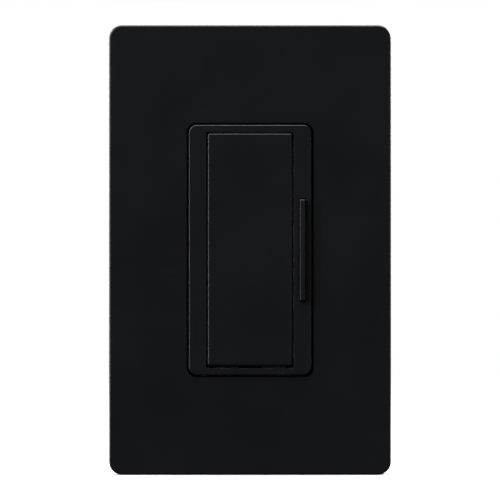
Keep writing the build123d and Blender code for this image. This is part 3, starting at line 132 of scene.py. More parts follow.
class DimmerSizes(bpy.types.PropertyGroup):
    thread_pitch: length("Thread pitch", "From one turn of a screw's thread to the next", 0.794 * MM)
    thread_depth: length("Thread depth", "How far the thread stands out from its core", 0.34 * MM)
    shank_radius: length("Shank radius", "Radius over the thread of the mounting screws", 1.75 * MM)
    terminal_head: length("Terminal head", "Height of a terminal screw's head", 2.0 * MM)
    clamp_side: length("Clamp side", "Side of a square wire clamp", 8.0 * MM)
    clamp_thickness: length("Clamp thickness", "Thickness of a wire clamp", 1.0 * MM)
    recess_width: length("Recess width", "Width of the cross in a screw's head", 0.9 * MM)
    recess_depth: length("Recess depth", "Depth of the cross in a screw's head", 1.1 * MM)
    ridge_pitch: length("Ridge pitch", "Between the gripping ridges of a wire clamp", 1.1 * MM)
    ridge_height: length("Ridge height", "Height of the gripping ridges of a wire clamp", 0.22 * MM)
    spring_wire: length("Spring wire", "Radius of the paddle spring's wire", 0.2 * MM)
    spring_give: length("Spring give", "How much shorter the pressed paddle makes its spring", 0.6 * MM)
    moulded_edge: length("Moulded edge", "Softening of the edges of moulded pieces", 0.12 * MM)
    floor_size: length("Floor size", "Width of the studio floor", 2.4)
    view_distance: length("View distance", "From the camera to the plate's front", 1.5)
    view_height: length("View height", "Height that the camera takes in at the plate's front", 132.4 * MM)


class DimmerColours(bpy.types.PropertyGroup):
    cover: colour("Cover", "Wall plate", (0.0043, 0.0047, 0.0058))
    controls: colour("Controls", "Bezel, paddle, rocker and tab", (0.0055, 0.0059, 0.0071))
    adapter: colour("Adapter", "Plate behind the cover", (0.0036, 0.0037, 0.0041))
    housing: colour("Housing", "Box behind the yoke", (0.115, 0.118, 0.122))
    aluminium: colour("Aluminium", "Yoke and rivet", (0.80, 0.81, 0.82))
    zinc: colour("Zinc", "Plated screws", (0.60, 0.61, 0.62))
    brass: colour("Brass", "Terminal pieces", (0.74, 0.53, 0.22))
    board: colour("Board", "Solder mask of the circuit board", (0.012, 0.115, 0.045))
    floor: colour("Floor", "Studio floor", (0.86, 0.86, 0.86))


# ------------------------------------------------------------------ shader maths
class Socket:
    """An output socket of a finish. Arithmetic on it adds Math nodes."""

    def __init__(self, finish, socket):
        self.finish = finish
        self.socket = socket

    def maths(self, operation, *values, **settings):
        return self.finish.node("Math", {"operation": operation, **settings}, dict(enumerate(values)))

    def __add__(self, other):
        return self.maths("ADD", self, other)

    def __radd__(self, other):
        return self.maths("ADD", other, self)

    def __sub__(self, other):
        return self.maths("SUBTRACT", self, other)

    def __rsub__(self, other):
        return self.maths("SUBTRACT", other, self)

    def __mul__(self, other):
        return self.maths("MULTIPLY", self, other)

    def __rmul__(self, other):
        return self.maths("MULTIPLY", other, self)

    def __pow__(self, other):
        return self.maths("POWER", self, other)

    def __abs__(self):
        return self.maths("ABSOLUTE", self)

    def above(self, edge, soft=0.02 * MM):
        """1 where the value is over the edge, 0 where it is under, with a soft step between."""
        sockets = {"Value": self, "From Min": edge - soft, "From Max": edge + soft}
        return self.finish.node("MapRange", {"interpolation_type": "SMOOTHSTEP"}, sockets)

    def below(self, edge, soft=0.02 * MM):
        return 1 - self.above(edge, soft)


class Finish:
    """A material in the making."""

    def __init__(self, name):
        self.material = bpy.data.materials.new(name)
        self.material.use_nodes = True
        self.tree = self.material.node_tree
        self.tree.nodes.clear()
        self.place = self.node("TexCoord", output="Object")
        self.x, self.y, self.z = (self.node("SeparateXYZ", {}, {0: self.place}, axis) for axis in "XYZ")

    def node(self, kind, settings=None, sockets=None, output=0):
        """Adds a node of this type, its settings first, and gives one of its outputs."""
        made = self.tree.nodes.new("ShaderNode" + kind)
        for setting, value in (settings or {}).items():
            setattr(made, setting, value)
        for key, value in (sockets or {}).items():
            target = made.inputs[key]
            if isinstance(value, Socket):
                self.tree.links.new(value.socket, target)
            elif target.type == "RGBA":
                target.default_value = (*value, 1)
            else:
                target.default_value = value
        return Socket(self, made.outputs[output]) if len(made.outputs) else None

    def mix(self, mask, first, second):
        """The first colour where the mask is 0 and the second where it is 1."""
        return self.node("Mix", {"data_type": "RGBA"}, {0: mask, 6: first, 7: second}, 2)

    def shade(self, tone, amount):
        """A colour made darker or lighter by a number."""
        grey = self.node("CombineXYZ", {}, {0: amount, 1: amount, 2: amount})
        return self.node("VectorMath", {"operation": "MULTIPLY"}, {0: tone, 1: grey})

    def noise(self, size, detail=2.0, stretch=(1, 1, 1), turn=(0, 0, 0)):
        """Noise from 0 to 1 with features of about this size, and longer in the stretched directions."""
        scale = tuple(1 / s for s in stretch)
        place = self.node("Mapping", {}, {"Vector": self.place, "Rotation": turn, "Scale": scale})
        return self.node("TexNoise", {}, {"Vector": place, "Scale": 1 / size, "Detail": detail})

    def speckle(self, size, cover):
        """1 on scattered spots of this size, over about this share of the surface."""
        cells = {"Vector": self.place, "Scale": 1 / size}
        distance = self.node("TexVoronoi", {}, cells, "Distance")
        chance = self.node("SeparateColor", {}, {0: self.node("TexVoronoi", {}, cells, "Color")}, "Red")
        return distance.below(0.32, 0.08) * chance.below(cover, 0.01)

    def edges(self, radius):
        """1 on sharp outer edges and in inner corners, fading to 0 over the radius."""
        true = self.node("NewGeometry", output="Normal")
        normals = {0: self.softened(radius), 1: true}
        agree = self.node("VectorMath", {"operation": "DOT_PRODUCT"}, normals, "Value")
        return (1 - agree).above(0.10, 0.08)

    def bump(self, height, distance, normal=None):
        """A normal that follows the height, from 0 to 1, over this distance."""
        sockets = {"Strength": 1.0, "Distance": distance, "Height": height}
        if normal is not None:
            sockets["Normal"] = normal
        return self.node("Bump", {}, sockets)

    def softened(self, radius):
        """A normal that rounds sharp edges over this radius."""
        return self.node("Bevel", {"samples": 6}, {"Radius": radius})

    def surface(self, tone, **sockets):
        """Ends the material with one shader. Socket names are written with underscores."""
        named = {name.replace("_", " ").title(): value for name, value in sockets.items()}
        shader = self.node("BsdfPrincipled", {}, {"Base Color": tone, **named})
        self.node("OutputMaterial", {}, {"Surface": shader})
        return self.material


def put_on(material, *nodes):
    """Gives the material to carried-over CAD nodes."""
    for name in nodes:
        slots = NODES[name].material_slots
        if not slots:
            raise RuntimeError(f"{name} has no material slot")
        for slot in slots:
            slot.material = material


# ------------------------------------------------------------------ finishes
def moulded_plastic(name, tone, roughness, grain, wear_and_sheen=0.3, edge=0.12 * MM, mottle=0.1):
    """Moulded plastic: fine spark-eroded grain, faint flow marks and polished edges painted slightly paler,
    partly as rubbed wear and partly as a painted sheen.
    """
    finish = Finish(name)
    flow = finish.noise(18 * MM, 3.0)
    pores = finish.noise(0.22 * MM, 3.0)
    scuffs = finish.noise(0.5 * MM, 2.0, stretch=(14, 14, 1), turn=(0.3, 0.5, 0.2)).above(0.66, 0.06)
    edges = finish.edges(2.2 * edge)
    body = finish.shade(tone, 1 - mottle / 2 + mottle * flow + 0.16 * (pores - 0.5))
    # edges and inner corners are painted paler: partly rubbed wear, partly a painted sheen standing in for
    # light on them
    paler = tuple(min(1, 2.2 * c + 0.008) for c in tone)
    body = finish.mix(edges * wear_and_sheen, body, paler)
    polish = roughness + 0.10 * (flow - 0.5) + 0.10 * (pores - 0.5) + 0.03 * scuffs - 0.08 * edges
    normal = finish.bump(pores, grain, finish.softened(edge))
    return finish.surface(body, roughness=polish, normal=normal)


def plated_metal(name, tone, roughness=0.3, worn=None, metallic=1.0, blotch=0.25):
    """Plated or dyed metal: a blotched coat, fine drawing lines, and edges worn to what is under it."""
    finish = Finish(name)
    cloud = finish.noise(1.6 * MM, 4.0)
    crystal = finish.noise(0.12 * MM, 2.0)
    edges = finish.edges(0.16 * MM) * finish.noise(0.5 * MM, 2.0).above(0.42, 0.15)
    body = finish.shade(tone, 1 - blotch / 2 + blotch * cloud)
    body = finish.mix(edges * 0.75, body, worn or tuple(min(1, 1.25 * c) for c in tone))
    polish = roughness + 0.22 * (cloud - 0.5) + 0.12 * (crystal - 0.5)
    normal = finish.bump(crystal, 0.004 * MM, finish.softened(0.06 * MM))
    metal = metallic if worn is None else metallic + (1 - metallic) * edges
    return finish.surface(body, roughness=polish, metallic=metal, normal=normal)


def rolled_aluminium(name, tone):
    """Rolled sheet: long rolling lines up and down, a dull film and brighter sheared edges."""
    finish = Finish(name)
    lines = finish.noise(0.10 * MM, 3.0, stretch=(1, 1, 60))
    film = finish.noise(7 * MM, 4.0)
    nicks = finish.noise(0.35 * MM, 2.0, stretch=(9, 1, 1), turn=(0.2, 0.1, 0.7)).above(0.72, 0.03)
    edges = finish.edges(0.25 * MM)
    body = finish.shade(tone, 0.80 + 0.14 * film + 0.14 * (lines - 0.5))
    body = finish.mix(edges * 0.6, body, (0.93, 0.93, 0.94))
    polish = 0.36 + 0.16 * (film - 0.5) + 0.20 * (lines - 0.5) - 0.10 * edges + 0.10 * nicks
    normal = finish.bump(lines - 0.5 * nicks, 0.006 * MM, finish.softened(0.10 * MM))
    return finish.surface(body, roughness=polish, metallic=1.0, normal=normal)


def pressed_fibre(name, tone, thread):
    """Pressed fibre sheet: short paler fibres lying every way in a darker binder."""
    finish = Finish(name)
    along = finish.noise(0.12 * MM, 3.0, stretch=(9, 1, 1), turn=(0, 0.5, 0.4)).above(0.56, 0.08)
    across = finish.noise(0.12 * MM, 3.0, stretch=(1, 1, 9), turn=(0, 0.7, 0.2)).above(0.58, 0.08)
    cloud = finish.noise(4 * MM, 3.0)
    body = finish.mix(along * 0.5 + across * 0.35, finish.shade(tone, 0.8 + 0.4 * cloud), thread)
    normal = finish.bump(along + across, 0.012 * MM)
    return finish.surface(body, roughness=0.62 + 0.2 * (cloud - 0.5), normal=normal)


def solder_mask(name, tone):
    """Green solder mask over angular copper tracks, with tinned pads and the glass weave showing faintly."""
    finish = Finish(name)
    cells = {"Vector": finish.place, "Scale": 1 / (3.6 * MM), "Randomness": 0.85}
    near = finish.node("TexVoronoi", {"distance": "MANHATTAN"}, cells, "Distance")
    next_near = finish.node("TexVoronoi", {"distance": "MANHATTAN", "feature": "F2"}, cells, "Distance")
    track = (next_near - near).below(0.16, 0.03)
    pads = finish.speckle(2.6 * MM, 0.35)
    weave = finish.noise(0.45 * MM, 1.0, stretch=(6, 1, 1)) + finish.noise(0.45 * MM, 1.0, stretch=(1, 1, 6))
    body = finish.shade(tone, 0.82 + 0.18 * weave)
    body = finish.mix(track * 0.55, body, tuple(2.4 * c for c in tone))
    body = finish.mix(pads, body, (0.70, 0.70, 0.68))
    polish = 0.34 + 0.10 * (weave - 1) - 0.06 * pads
    normal = finish.bump(track + 1.4 * pads, 0.03 * MM)
    return finish.surface(body, roughness=polish, metallic=pads, normal=normal)


def coated_core(name, tone):
    """Ring core with a thick sprayed coat: orange peel and dark specks."""
    finish = Finish(name)
    peel = finish.noise(0.6 * MM, 2.0)
    specks = finish.speckle(0.35 * MM, 0.12)
    body = finish.mix(specks * 0.5, finish.shade(tone, 0.85 + 0.3 * peel), (0.25, 0.18, 0.05))
    return finish.surface(body, roughness=0.38 + 0.2 * (peel - 0.5), normal=finish.bump(peel, 0.05 * MM))


def enamelled_copper(name, tone):
    """Copper wire under clear enamel, each turn a little different, with scraped streaks."""
    finish = Finish(name)
    turns = finish.noise(1.1 * MM, 1.0)
    streak = finish.noise(0.14 * MM, 2.0, stretch=(1, 8, 1))
    body = finish.shade(tone, 0.65 + 0.5 * turns + 0.3 * (streak - 0.5))
    polish = 0.24 + 0.2 * (streak - 0.5)
    normal = finish.bump(streak, 0.008 * MM)
    return finish.surface(body, roughness=polish, metallic=1.0, coat_weight=0.5, normal=normal)


def capacitor_can(name, node):
    """A dark sleeve with a pale stripe down one side, shrunk over a can whose scored top shows."""
    finish = Finish(name)
    low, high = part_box(node)
    middle, radius = (low + high) / 2, (high.x - low.x) / 2
    x, z = finish.x - middle.x, finish.z - middle.z
    out = (x * x + z * z) ** 0.5
    top = finish.y.above(high.y - 0.55 * MM) * out.below(radius * 0.86)
    score = (abs(x).below(0.12 * MM) + abs(z).below(0.12 * MM)) * top * out.below(radius * 0.6)
    stripe = x.below(-radius * 0.86) * (1 - top)
    creases = finish.noise(0.3 * MM, 3.0, stretch=(1, 7, 1))
    body = finish.mix(stripe, finish.shade((0.016, 0.020, 0.060), 0.8 + 0.4 * creases), (0.42, 0.44, 0.46))
    body = finish.mix(top, body, finish.shade((0.78, 0.79, 0.80), 0.85 + 0.2 * creases))
    normal = finish.bump(0.3 * creases - score, 0.06 * MM)
    return finish.surface(body, roughness=0.30 + 0.15 * (creases - 0.5), metallic=top, normal=normal)


def legged_chip(name, node):
    """Black moulded chip with a matt top, a round pin-one dimple and tinned legs at both sides."""
    finish = Finish(name)
    low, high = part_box(node)
    middle = (low + high) / 2
    grit = finish.noise(0.15 * MM, 3.0)
    legs = abs(finish.x - middle.x).above((high.x - low.x) * 0.33)
    dx, dz = finish.x - middle.x + 1.1 * MM, finish.z - high.z + 1.1 * MM
    dimple = ((dx * dx + dz * dz) ** 0.5).below(0.45 * MM, 0.05 * MM)
    body = finish.mix(legs, finish.shade((0.016, 0.016, 0.017), 0.7 + 0.6 * grit), (0.68, 0.68, 0.67))
    polish = 0.55 + 0.2 * (grit - 0.5) - 0.2 * legs - 0.2 * dimple
    normal = finish.bump(0.1 * grit - dimple, 0.1 * MM)
    return finish.surface(body, roughness=polish, metallic=legs, normal=normal)


def capped_fuse(name, node):
    """A pale ceramic tube, faintly speckled, between rolled metal caps."""
    finish = Finish(name)
    low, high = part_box(node)
    middle = (low.x + high.x) / 2
    caps = abs(finish.x - middle).above((high.x - low.x) / 2 - 2.0 * MM)
    roll = abs(abs(finish.x - middle) - (high.x - low.x) / 2 + 1.4 * MM).below(0.14 * MM, 0.06 * MM)
    cloud = finish.noise(0.4 * MM, 4.0)
    tube = finish.shade((0.74, 0.70, 0.60), 0.88 + 0.24 * cloud)
    body = finish.mix(caps, tube, finish.shade((0.70, 0.70, 0.69), 0.8 + 0.3 * cloud))
    normal = finish.bump(0.05 * cloud - roll * caps, 0.12 * MM)
    return finish.surface(body, roughness=0.28 + 0.2 * (cloud - 0.5), metallic=caps, normal=normal)


def banded_resistors(name, pitch=9.5 * MM, half=3.25 * MM):
    """Tan enamelled bodies with four colour bands each, and tinned leads."""
    finish = Finish(name)
    along = finish.x.maths("PINGPONG", finish.x, pitch / 2)
    shifted = finish.x + pitch / 2
    signed = shifted.maths("FLOORED_MODULO", shifted, pitch) - pitch / 2
    glaze = finish.noise(0.3 * MM, 3.0)
    body = finish.shade((0.50, 0.33, 0.17), 0.85 + 0.3 * glaze)
    brown, red, orange, gold = (0.10, 0.04, 0.02), (0.45, 0.02, 0.02), (0.5, 0.15, 0.02), (0.5, 0.35, 0.1)
    for centre, tone in ((-2.4, brown), (-1.0, red), (0.2, orange), (2.4, gold)):
        band = abs(signed - centre * MM).below(0.3 * MM)
        body = finish.mix(band, body, tone)
    leads = along.above(half)
    body = finish.mix(leads, body, (0.68, 0.68, 0.67))
    polish = 0.26 + 0.2 * (glaze - 0.5)
    return finish.surface(body, roughness=polish, metallic=leads, normal=finish.bump(glaze, 0.02 * MM))


def triac_package(name, node):
    """A moulded body on a plated tab, with tinned leads."""
    finish = Finish(name)
    low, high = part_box(node)
    grit = finish.noise(0.18 * MM, 3.0)
    leads = finish.z.below(high.z - 15.6 * MM)
    tab = finish.y.below(low.y + 1.3 * MM)
    metal = leads + tab * (1 - leads)
    plate = finish.shade((0.66, 0.66, 0.65), 0.8 + 0.3 * finish.noise(1.5 * MM, 3.0))
    body = finish.mix(metal, finish.shade((0.018, 0.018, 0.019), 0.7 + 0.6 * grit), plate)
    polish = 0.52 + 0.2 * (grit - 0.5) - 0.16 * metal
    return finish.surface(body, roughness=polish, metallic=metal, normal=finish.bump(grit, 0.01 * MM))


# ------------------------------------------------------------------ modelling
def pick(mode, test):
    """In edit mode, selects only the faces or vertices that pass the test.

    A vertex is tested by its place, and a face by its place and normal.
    """
    bpy.ops.mesh.select_mode(type=mode)
    bpy.ops.mesh.select_all(action="DESELECT")
    bpy.ops.object.mode_set(mode="OBJECT")
    mesh = bpy.context.object.data
    if mode == "FACE":
        for face in mesh.polygons:
            face.select = test(face.center, face.normal)
    else:
        for vertex in mesh.vertices:
            vertex.select = test(vertex.co)
    bpy.ops.object.mode_set(mode="EDIT")


def alone(*items):
    """Leaves only these objects selected, the first of them active."""
    bpy.ops.object.select_all(action="DESELECT")
    for item in items:
        item.select_set(True)
    bpy.context.view_layer.objects.active = items[0]


def primitive(kind, **settings):
    """Adds a primitive with its place applied to its mesh."""
    bpy.ops.object.select_all(action="DESELECT")
    getattr(bpy.ops.mesh, f"primitive_{kind}_add")(**settings)
    bpy.ops.object.transform_apply(location=True, rotation=True, scale=True)
    return bpy.context.object


def block(middle, size, rotation=(0, 0, 0)):
    return primitive("cube", size=1, location=middle, scale=size, rotation=rotation)


def cylinder(radius, low, high, sides=ROUND_SIDES):
    """A cylinder on the Z axis, from low to high."""
    middle = (0, 0, (low + high) / 2)
    return primitive("cylinder", vertices=sides, radius=radius, depth=high - low, location=middle)


def with_modifier(item, kind, **settings):
    """Adds a modifier with these settings and applies it."""
    alone(item)
    modifier = item.modifiers.new(kind.title(), kind)
    for setting, value in settings.items():
        setattr(modifier, setting, value)
    bpy.ops.object.modifier_apply(modifier=modifier.name)


def merge(item, tool, operation):
    """A boolean of the item with a tool, which is used up."""
    with_modifier(item, "BOOLEAN", object=tool, operation=operation, solver="EXACT")
    bpy.data.objects.remove(tool)


def threaded_rod(core, crest, start, end, pitch, sides=32):
    """A threaded rod down Z from start to end, its ends cut flat and its tip drawn in."""
    low = end - pitch
    # the outer half of a square on its corner, reaching to the crest, which is then blunted
    rod = primitive("circle", vertices=4, radius=pitch / 2, location=(core, 0, low), rotation=(pi / 2, 0, 0))
    bpy.ops.object.mode_set(mode="EDIT")
    pick("VERT", lambda p: p.x < core - pitch * 0.4)
    bpy.ops.mesh.delete(type="VERT")
    bpy.ops.mesh.select_all(action="SELECT")
    bpy.ops.transform.resize(value=((crest - core) / (pitch / 2), 1, 1), center_override=(core, 0, low))
    pick("VERT", lambda p: p.x > (core + crest) / 2)
    bpy.ops.mesh.bevel(affect="VERTICES", offset=pitch * 0.1, segments=1)
    bpy.ops.object.mode_set(mode="OBJECT")
    turns = int((start - end) / pitch) + 3
    spin = {"screw_offset": pitch, "iterations": turns, "steps": sides, "render_steps": sides}
    with_modifier(rod, "SCREW", axis="Z", **spin)
    bpy.ops.object.mode_set(mode="EDIT")
    bpy.ops.mesh.select_all(action="SELECT")
    bpy.ops.mesh.remove_doubles(threshold=pitch / 100)
    # the default threshold is 0.1 mm, which is coarse beside a thread
    cut = {"use_fill": True, "clear_outer": True, "threshold": pitch / 10000}
    for height, up in ((start, 1), (end, -1)):
        bpy.ops.mesh.select_all(action="SELECT")
        bpy.ops.mesh.bisect(plane_co=(0, 0, height), plane_no=(0, 0, up), **cut)
    bpy.ops.mesh.select_all(action="SELECT")
    bpy.ops.mesh.normals_make_consistent(inside=False)
    tip = TIP_LENGTH * pitch
    pick("FACE", lambda p, n: n.z < -0.9 and p.z < end + pitch / 10)
    bpy.ops.mesh.extrude_region_move(TRANSFORM_OT_translate={"value": (0, 0, -tip)})
    bpy.ops.transform.resize(value=(TIP_TAPER, TIP_TAPER, 1), center_override=(0, 0, end - tip))
    bpy.ops.object.mode_set(mode="OBJECT")
    return rod


def pan_head(radius, height):
    """A pan head that stands on the origin, its rim rounded over."""
    head = cylinder(radius, 0, height)
    bpy.ops.object.mode_set(mode="EDIT")
    pick("FACE", lambda p, n: n.z > 0.9)
    bpy.ops.mesh.bevel(affect="EDGES", offset=height * 0.48, segments=6, profile=0.62)
    pick("FACE", lambda p, n: n.z < -0.9)
    bpy.ops.mesh.bevel(affect="EDGES", offset=height * 0.06, segments=2)
    bpy.ops.object.mode_set(mode="OBJECT")
    return head


def flat_head(radius, shank, depth):
    """A countersunk head whose top lies on the origin, with a narrow land round its rim."""
    middle = (0, 0, -(LAND + depth) / 2)
    radii = {"radius1": shank, "radius2": radius}
    head = primitive("cone", vertices=ROUND_SIDES, depth=depth - LAND, location=middle, **radii)
    bpy.ops.object.mode_set(mode="EDIT")
    pick("FACE", lambda p, n: n.z > 0.9)
    bpy.ops.mesh.extrude_region_move(TRANSFORM_OT_translate={"value": (0, 0, LAND)})
    bpy.ops.mesh.select_all(action="SELECT")
    bpy.ops.mesh.normals_make_consistent(inside=False)
    bpy.ops.object.mode_set(mode="OBJECT")
    return head


def drive_recess(head, top, reach, sizes):
    """Cuts a tapered cross into a head, and a shallow slot right across it."""
    deep = sizes.recess_depth
    for turned in (False, True):
        across, along = sizes.recess_width, 2 * reach
        size = (along, across, 2 * deep) if turned else (across, along, 2 * deep)
        arm = block((0, 0, top), size)
        bpy.ops.object.mode_set(mode="EDIT")
        pick("FACE", lambda p, n: n.z < -0.9)
        bpy.ops.transform.resize(value=(DRIVE_TAPER, DRIVE_TAPER, 1), center_override=(0, 0, top))
        bpy.ops.object.mode_set(mode="OBJECT")
        merge(head, arm, "DIFFERENCE")
    merge(head, block((0, 0, top), (8 * reach, sizes.recess_width, deep)), "DIFFERENCE")


def screw(sizes, head_radius, head_height, shank, neck, length, sink=0):
    """A whole screw on Z: its head's seat or top on the origin, a plain neck and a rolled thread.

    A head with a sink is countersunk by it, and any other is a pan head of the given height.
    """
    core = shank - sizes.thread_depth
    piece = flat_head(head_radius, shank, sink) if sink else pan_head(head_radius, head_height)
    start = -max(neck, sink)
    drive_recess(piece, 0 if sink else head_height, head_radius * DRIVE_REACH, sizes)
    tip = TIP_LENGTH * sizes.thread_pitch
    rod = threaded_rod(core, shank, start, tip - length, sizes.thread_pitch)
    collar = cylinder(core + COLLAR, start - OVERLAP, OVERLAP - sink)
    merge(piece, collar, "UNION")
    merge(piece, rod, "UNION")
    return piece


def coil(radius, wire, rise, turns, sides=32):
    """A coil of wire that stands on the origin and winds up Z, its ends cut flat."""
    place = {"location": (radius, 0, wire), "rotation": (pi / 2, 0, 0)}
    piece = primitive("circle", vertices=WIRE_SIDES, radius=wire, **place)
    steps = sides * turns
    spin = {"screw_offset": rise, "angle": 2 * pi * turns, "steps": steps, "render_steps": steps}
    with_modifier(piece, "SCREW", axis="Z", **spin)
    bpy.ops.object.mode_set(mode="EDIT")
    bpy.ops.mesh.select_all(action="SELECT")
    bpy.ops.mesh.fill_holes(sides=WIRE_SIDES)
    bpy.ops.mesh.select_all(action="SELECT")
    bpy.ops.mesh.normals_make_consistent(inside=False)
    bpy.ops.object.mode_set(mode="OBJECT")
    return piece


def placed(blank, name, places, node, material):
    """Copies of a blank at their places, each with its Z turned outwards, as one piece for a node."""
    copies = []
    for place, outwards in places:
        copy = blank.copy()
        copy.data = blank.data.copy()
        bpy.context.scene.collection.objects.link(copy)
        copy.rotation_euler = Vector(outwards).to_track_quat("Z", "Y").to_euler()
        copy.location = place
        copies.append(copy)
    alone(*copies)
    if len(copies) > 1:
        bpy.ops.object.join()
    bpy.ops.object.transform_apply(location=True, rotation=True, scale=True)
    piece = bpy.context.object
    piece.name = piece.data.name = name
    bpy.data.objects.remove(blank)
    bpy.ops.object.shade_smooth_by_angle(angle=SMOOTH_ANGLE)
    piece.data.materials.clear()
    piece.data.materials.append(material)
    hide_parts(node)
    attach(piece, "dimmer_body")
    return piece


class DIMMER_OT_front_plastics(bpy.types.Operator):
    """Dresses the cover, its adapter and the moulded controls"""

    bl_idname = "dimmer.front_plastics"
    bl_label = "Front plastics"

    def execute(self, context):
        sizes, colours = context.scene.dimmer_sizes, context.scene.dimmer_colours
        edge = sizes.moulded_edge
        fine, coarse = 0.003 * MM, 0.02 * MM
        cover = moulded_plastic("satin_cover", tuple(colours.cover), 0.34, fine, edge=edge)
        controls = moulded_plastic("satin_controls", tuple(colours.controls), 0.33, fine, edge=edge)
        adapter = moulded_plastic("matt_adapter", tuple(colours.adapter), 0.55, coarse, edge=edge)
        put_on(cover, "wallplate_cover")
        put_on(controls, "bezel", "tap_paddle", "dimming_rocker", "air_gap_tab")
        put_on(adapter, "adapter_plate")
        return {"FINISHED"}


class DIMMER_OT_yoke(bpy.types.Operator):
    """Dresses the aluminium yoke, the rivet and the fibre screw retainers"""

    bl_idname = "dimmer.yoke"
    bl_label = "Yoke"

    def execute(self, context):
        colours = context.scene.dimmer_colours
        put_on(rolled_aluminium("rolled_yoke", tuple(colours.aluminium)), "mounting_yoke")
        put_on(plated_metal("rivet_metal", tuple(colours.aluminium), 0.35), "triac_rivet")
        put_on(pressed_fibre("retainer_fibre", (0.16, 0.035, 0.022), (0.36, 0.14, 0.09)), "screw_retainers")
        return {"FINISHED"}


class DIMMER_OT_housing(bpy.types.Operator):
    """Dresses the back housing"""

    bl_idname = "dimmer.housing"
    bl_label = "Back housing"

    def execute(self, context):
        tone = tuple(context.scene.dimmer_colours.housing)
        # the keyword sets how far the edges are painted paler: partly rubbed wear, partly a painted sheen
        grey = moulded_plastic("housing_resin", tone, 0.50, 0.07 * MM, wear_and_sheen=0.35, mottle=0.25)
        put_on(grey, "back_housing")
        return {"FINISHED"}


class DIMMER_OT_mounting_screws(bpy.types.Operator):
    """Models the threaded screws that hold the yoke and the adapter, and dresses the housing's screws"""

    bl_idname = "dimmer.mounting_screws"
    bl_label = "Mounting screws"

    def execute(self, context):
        sizes, colours = context.scene.dimmer_sizes, context.scene.dimmer_colours
        zinc = plated_metal("zinc_plate", tuple(colours.zinc), 0.30)
        put_on(zinc, "housing_screws")
        low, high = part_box("box_screws")
        head, seat = high.x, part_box("mounting_yoke")[0].y
        places = [((0, seat, side * (high.z - head)), (0, -1, 0)) for side in (1, -1)]
        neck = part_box("screw_retainers")[1].y - seat
        blank = screw(sizes, head, seat - low.y, sizes.shank_radius, neck, high.y - seat)
        placed(blank, "threaded_box_screws", places, "box_screws", zinc)
        low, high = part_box("adapter_screws")
        head, shank = high.x, sizes.shank_radius - SHORT_SHANK
        places = [((0, low.y, side * (high.z - head)), (0, -1, 0)) for side in (1, -1)]
        sink = (head - shank) / tan(COUNTERSINK_ANGLE)
        blank = screw(sizes, head, 0, shank, 0, high.y - low.y, sink)
        placed(blank, "threaded_adapter_screws", places, "adapter_screws", zinc)
        return {"FINISHED"}


class DIMMER_OT_terminal_screws(bpy.types.Operator):
    """Models the coloured terminal screws and the green ground screw"""

    bl_idname = "dimmer.terminal_screws"
    bl_label = "Terminal screws"

    def execute(self, context):
        sizes = context.scene.dimmer_sizes
        brass = tuple(context.scene.dimmer_colours.brass)
        bare, dark = (0.62, 0.62, 0.60), (0.35, 0.35, 0.36)
        finishes = {
            "ground": plated_metal("green_dye", (0.010, 0.17, 0.045), 0.36, bare, 0.6),
            "line_terminal": plated_metal("brass_plate", brass, 0.26),
            "load_terminal": plated_metal("black_oxide", (0.022, 0.022, 0.024), 0.40, dark, 0.6),
            "companion_terminal": plated_metal("blue_dye", (0.012, 0.06, 0.26), 0.36, bare, 0.6),
        }
        slots = ("ground_green", "terminal_brass", "terminal_black", "terminal_blue")
        for (name, material), slot in zip(finishes.items(), slots):
            node = f"{name}_screw"
            low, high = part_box(node)
            middle = (low + high) / 2
            axis = (0, 0, -1) if name == "ground" else (1 if middle.x > 0 else -1, 0, 0)
            out = Vector(axis)
            head_height, whole = sizes.terminal_head, abs((high - low).dot(out))
            place = middle + out * (whole / 2 - head_height)
            shank, head = sizes.shank_radius - SHORT_SHANK, (high.y - low.y) / 2
            blank = screw(sizes, head, head_height, shank, TERMINAL_NECK, whole - head_height)
            placed(blank, f"threaded_{name}_screw", [(place, axis)], node, material)
        return {"FINISHED"}


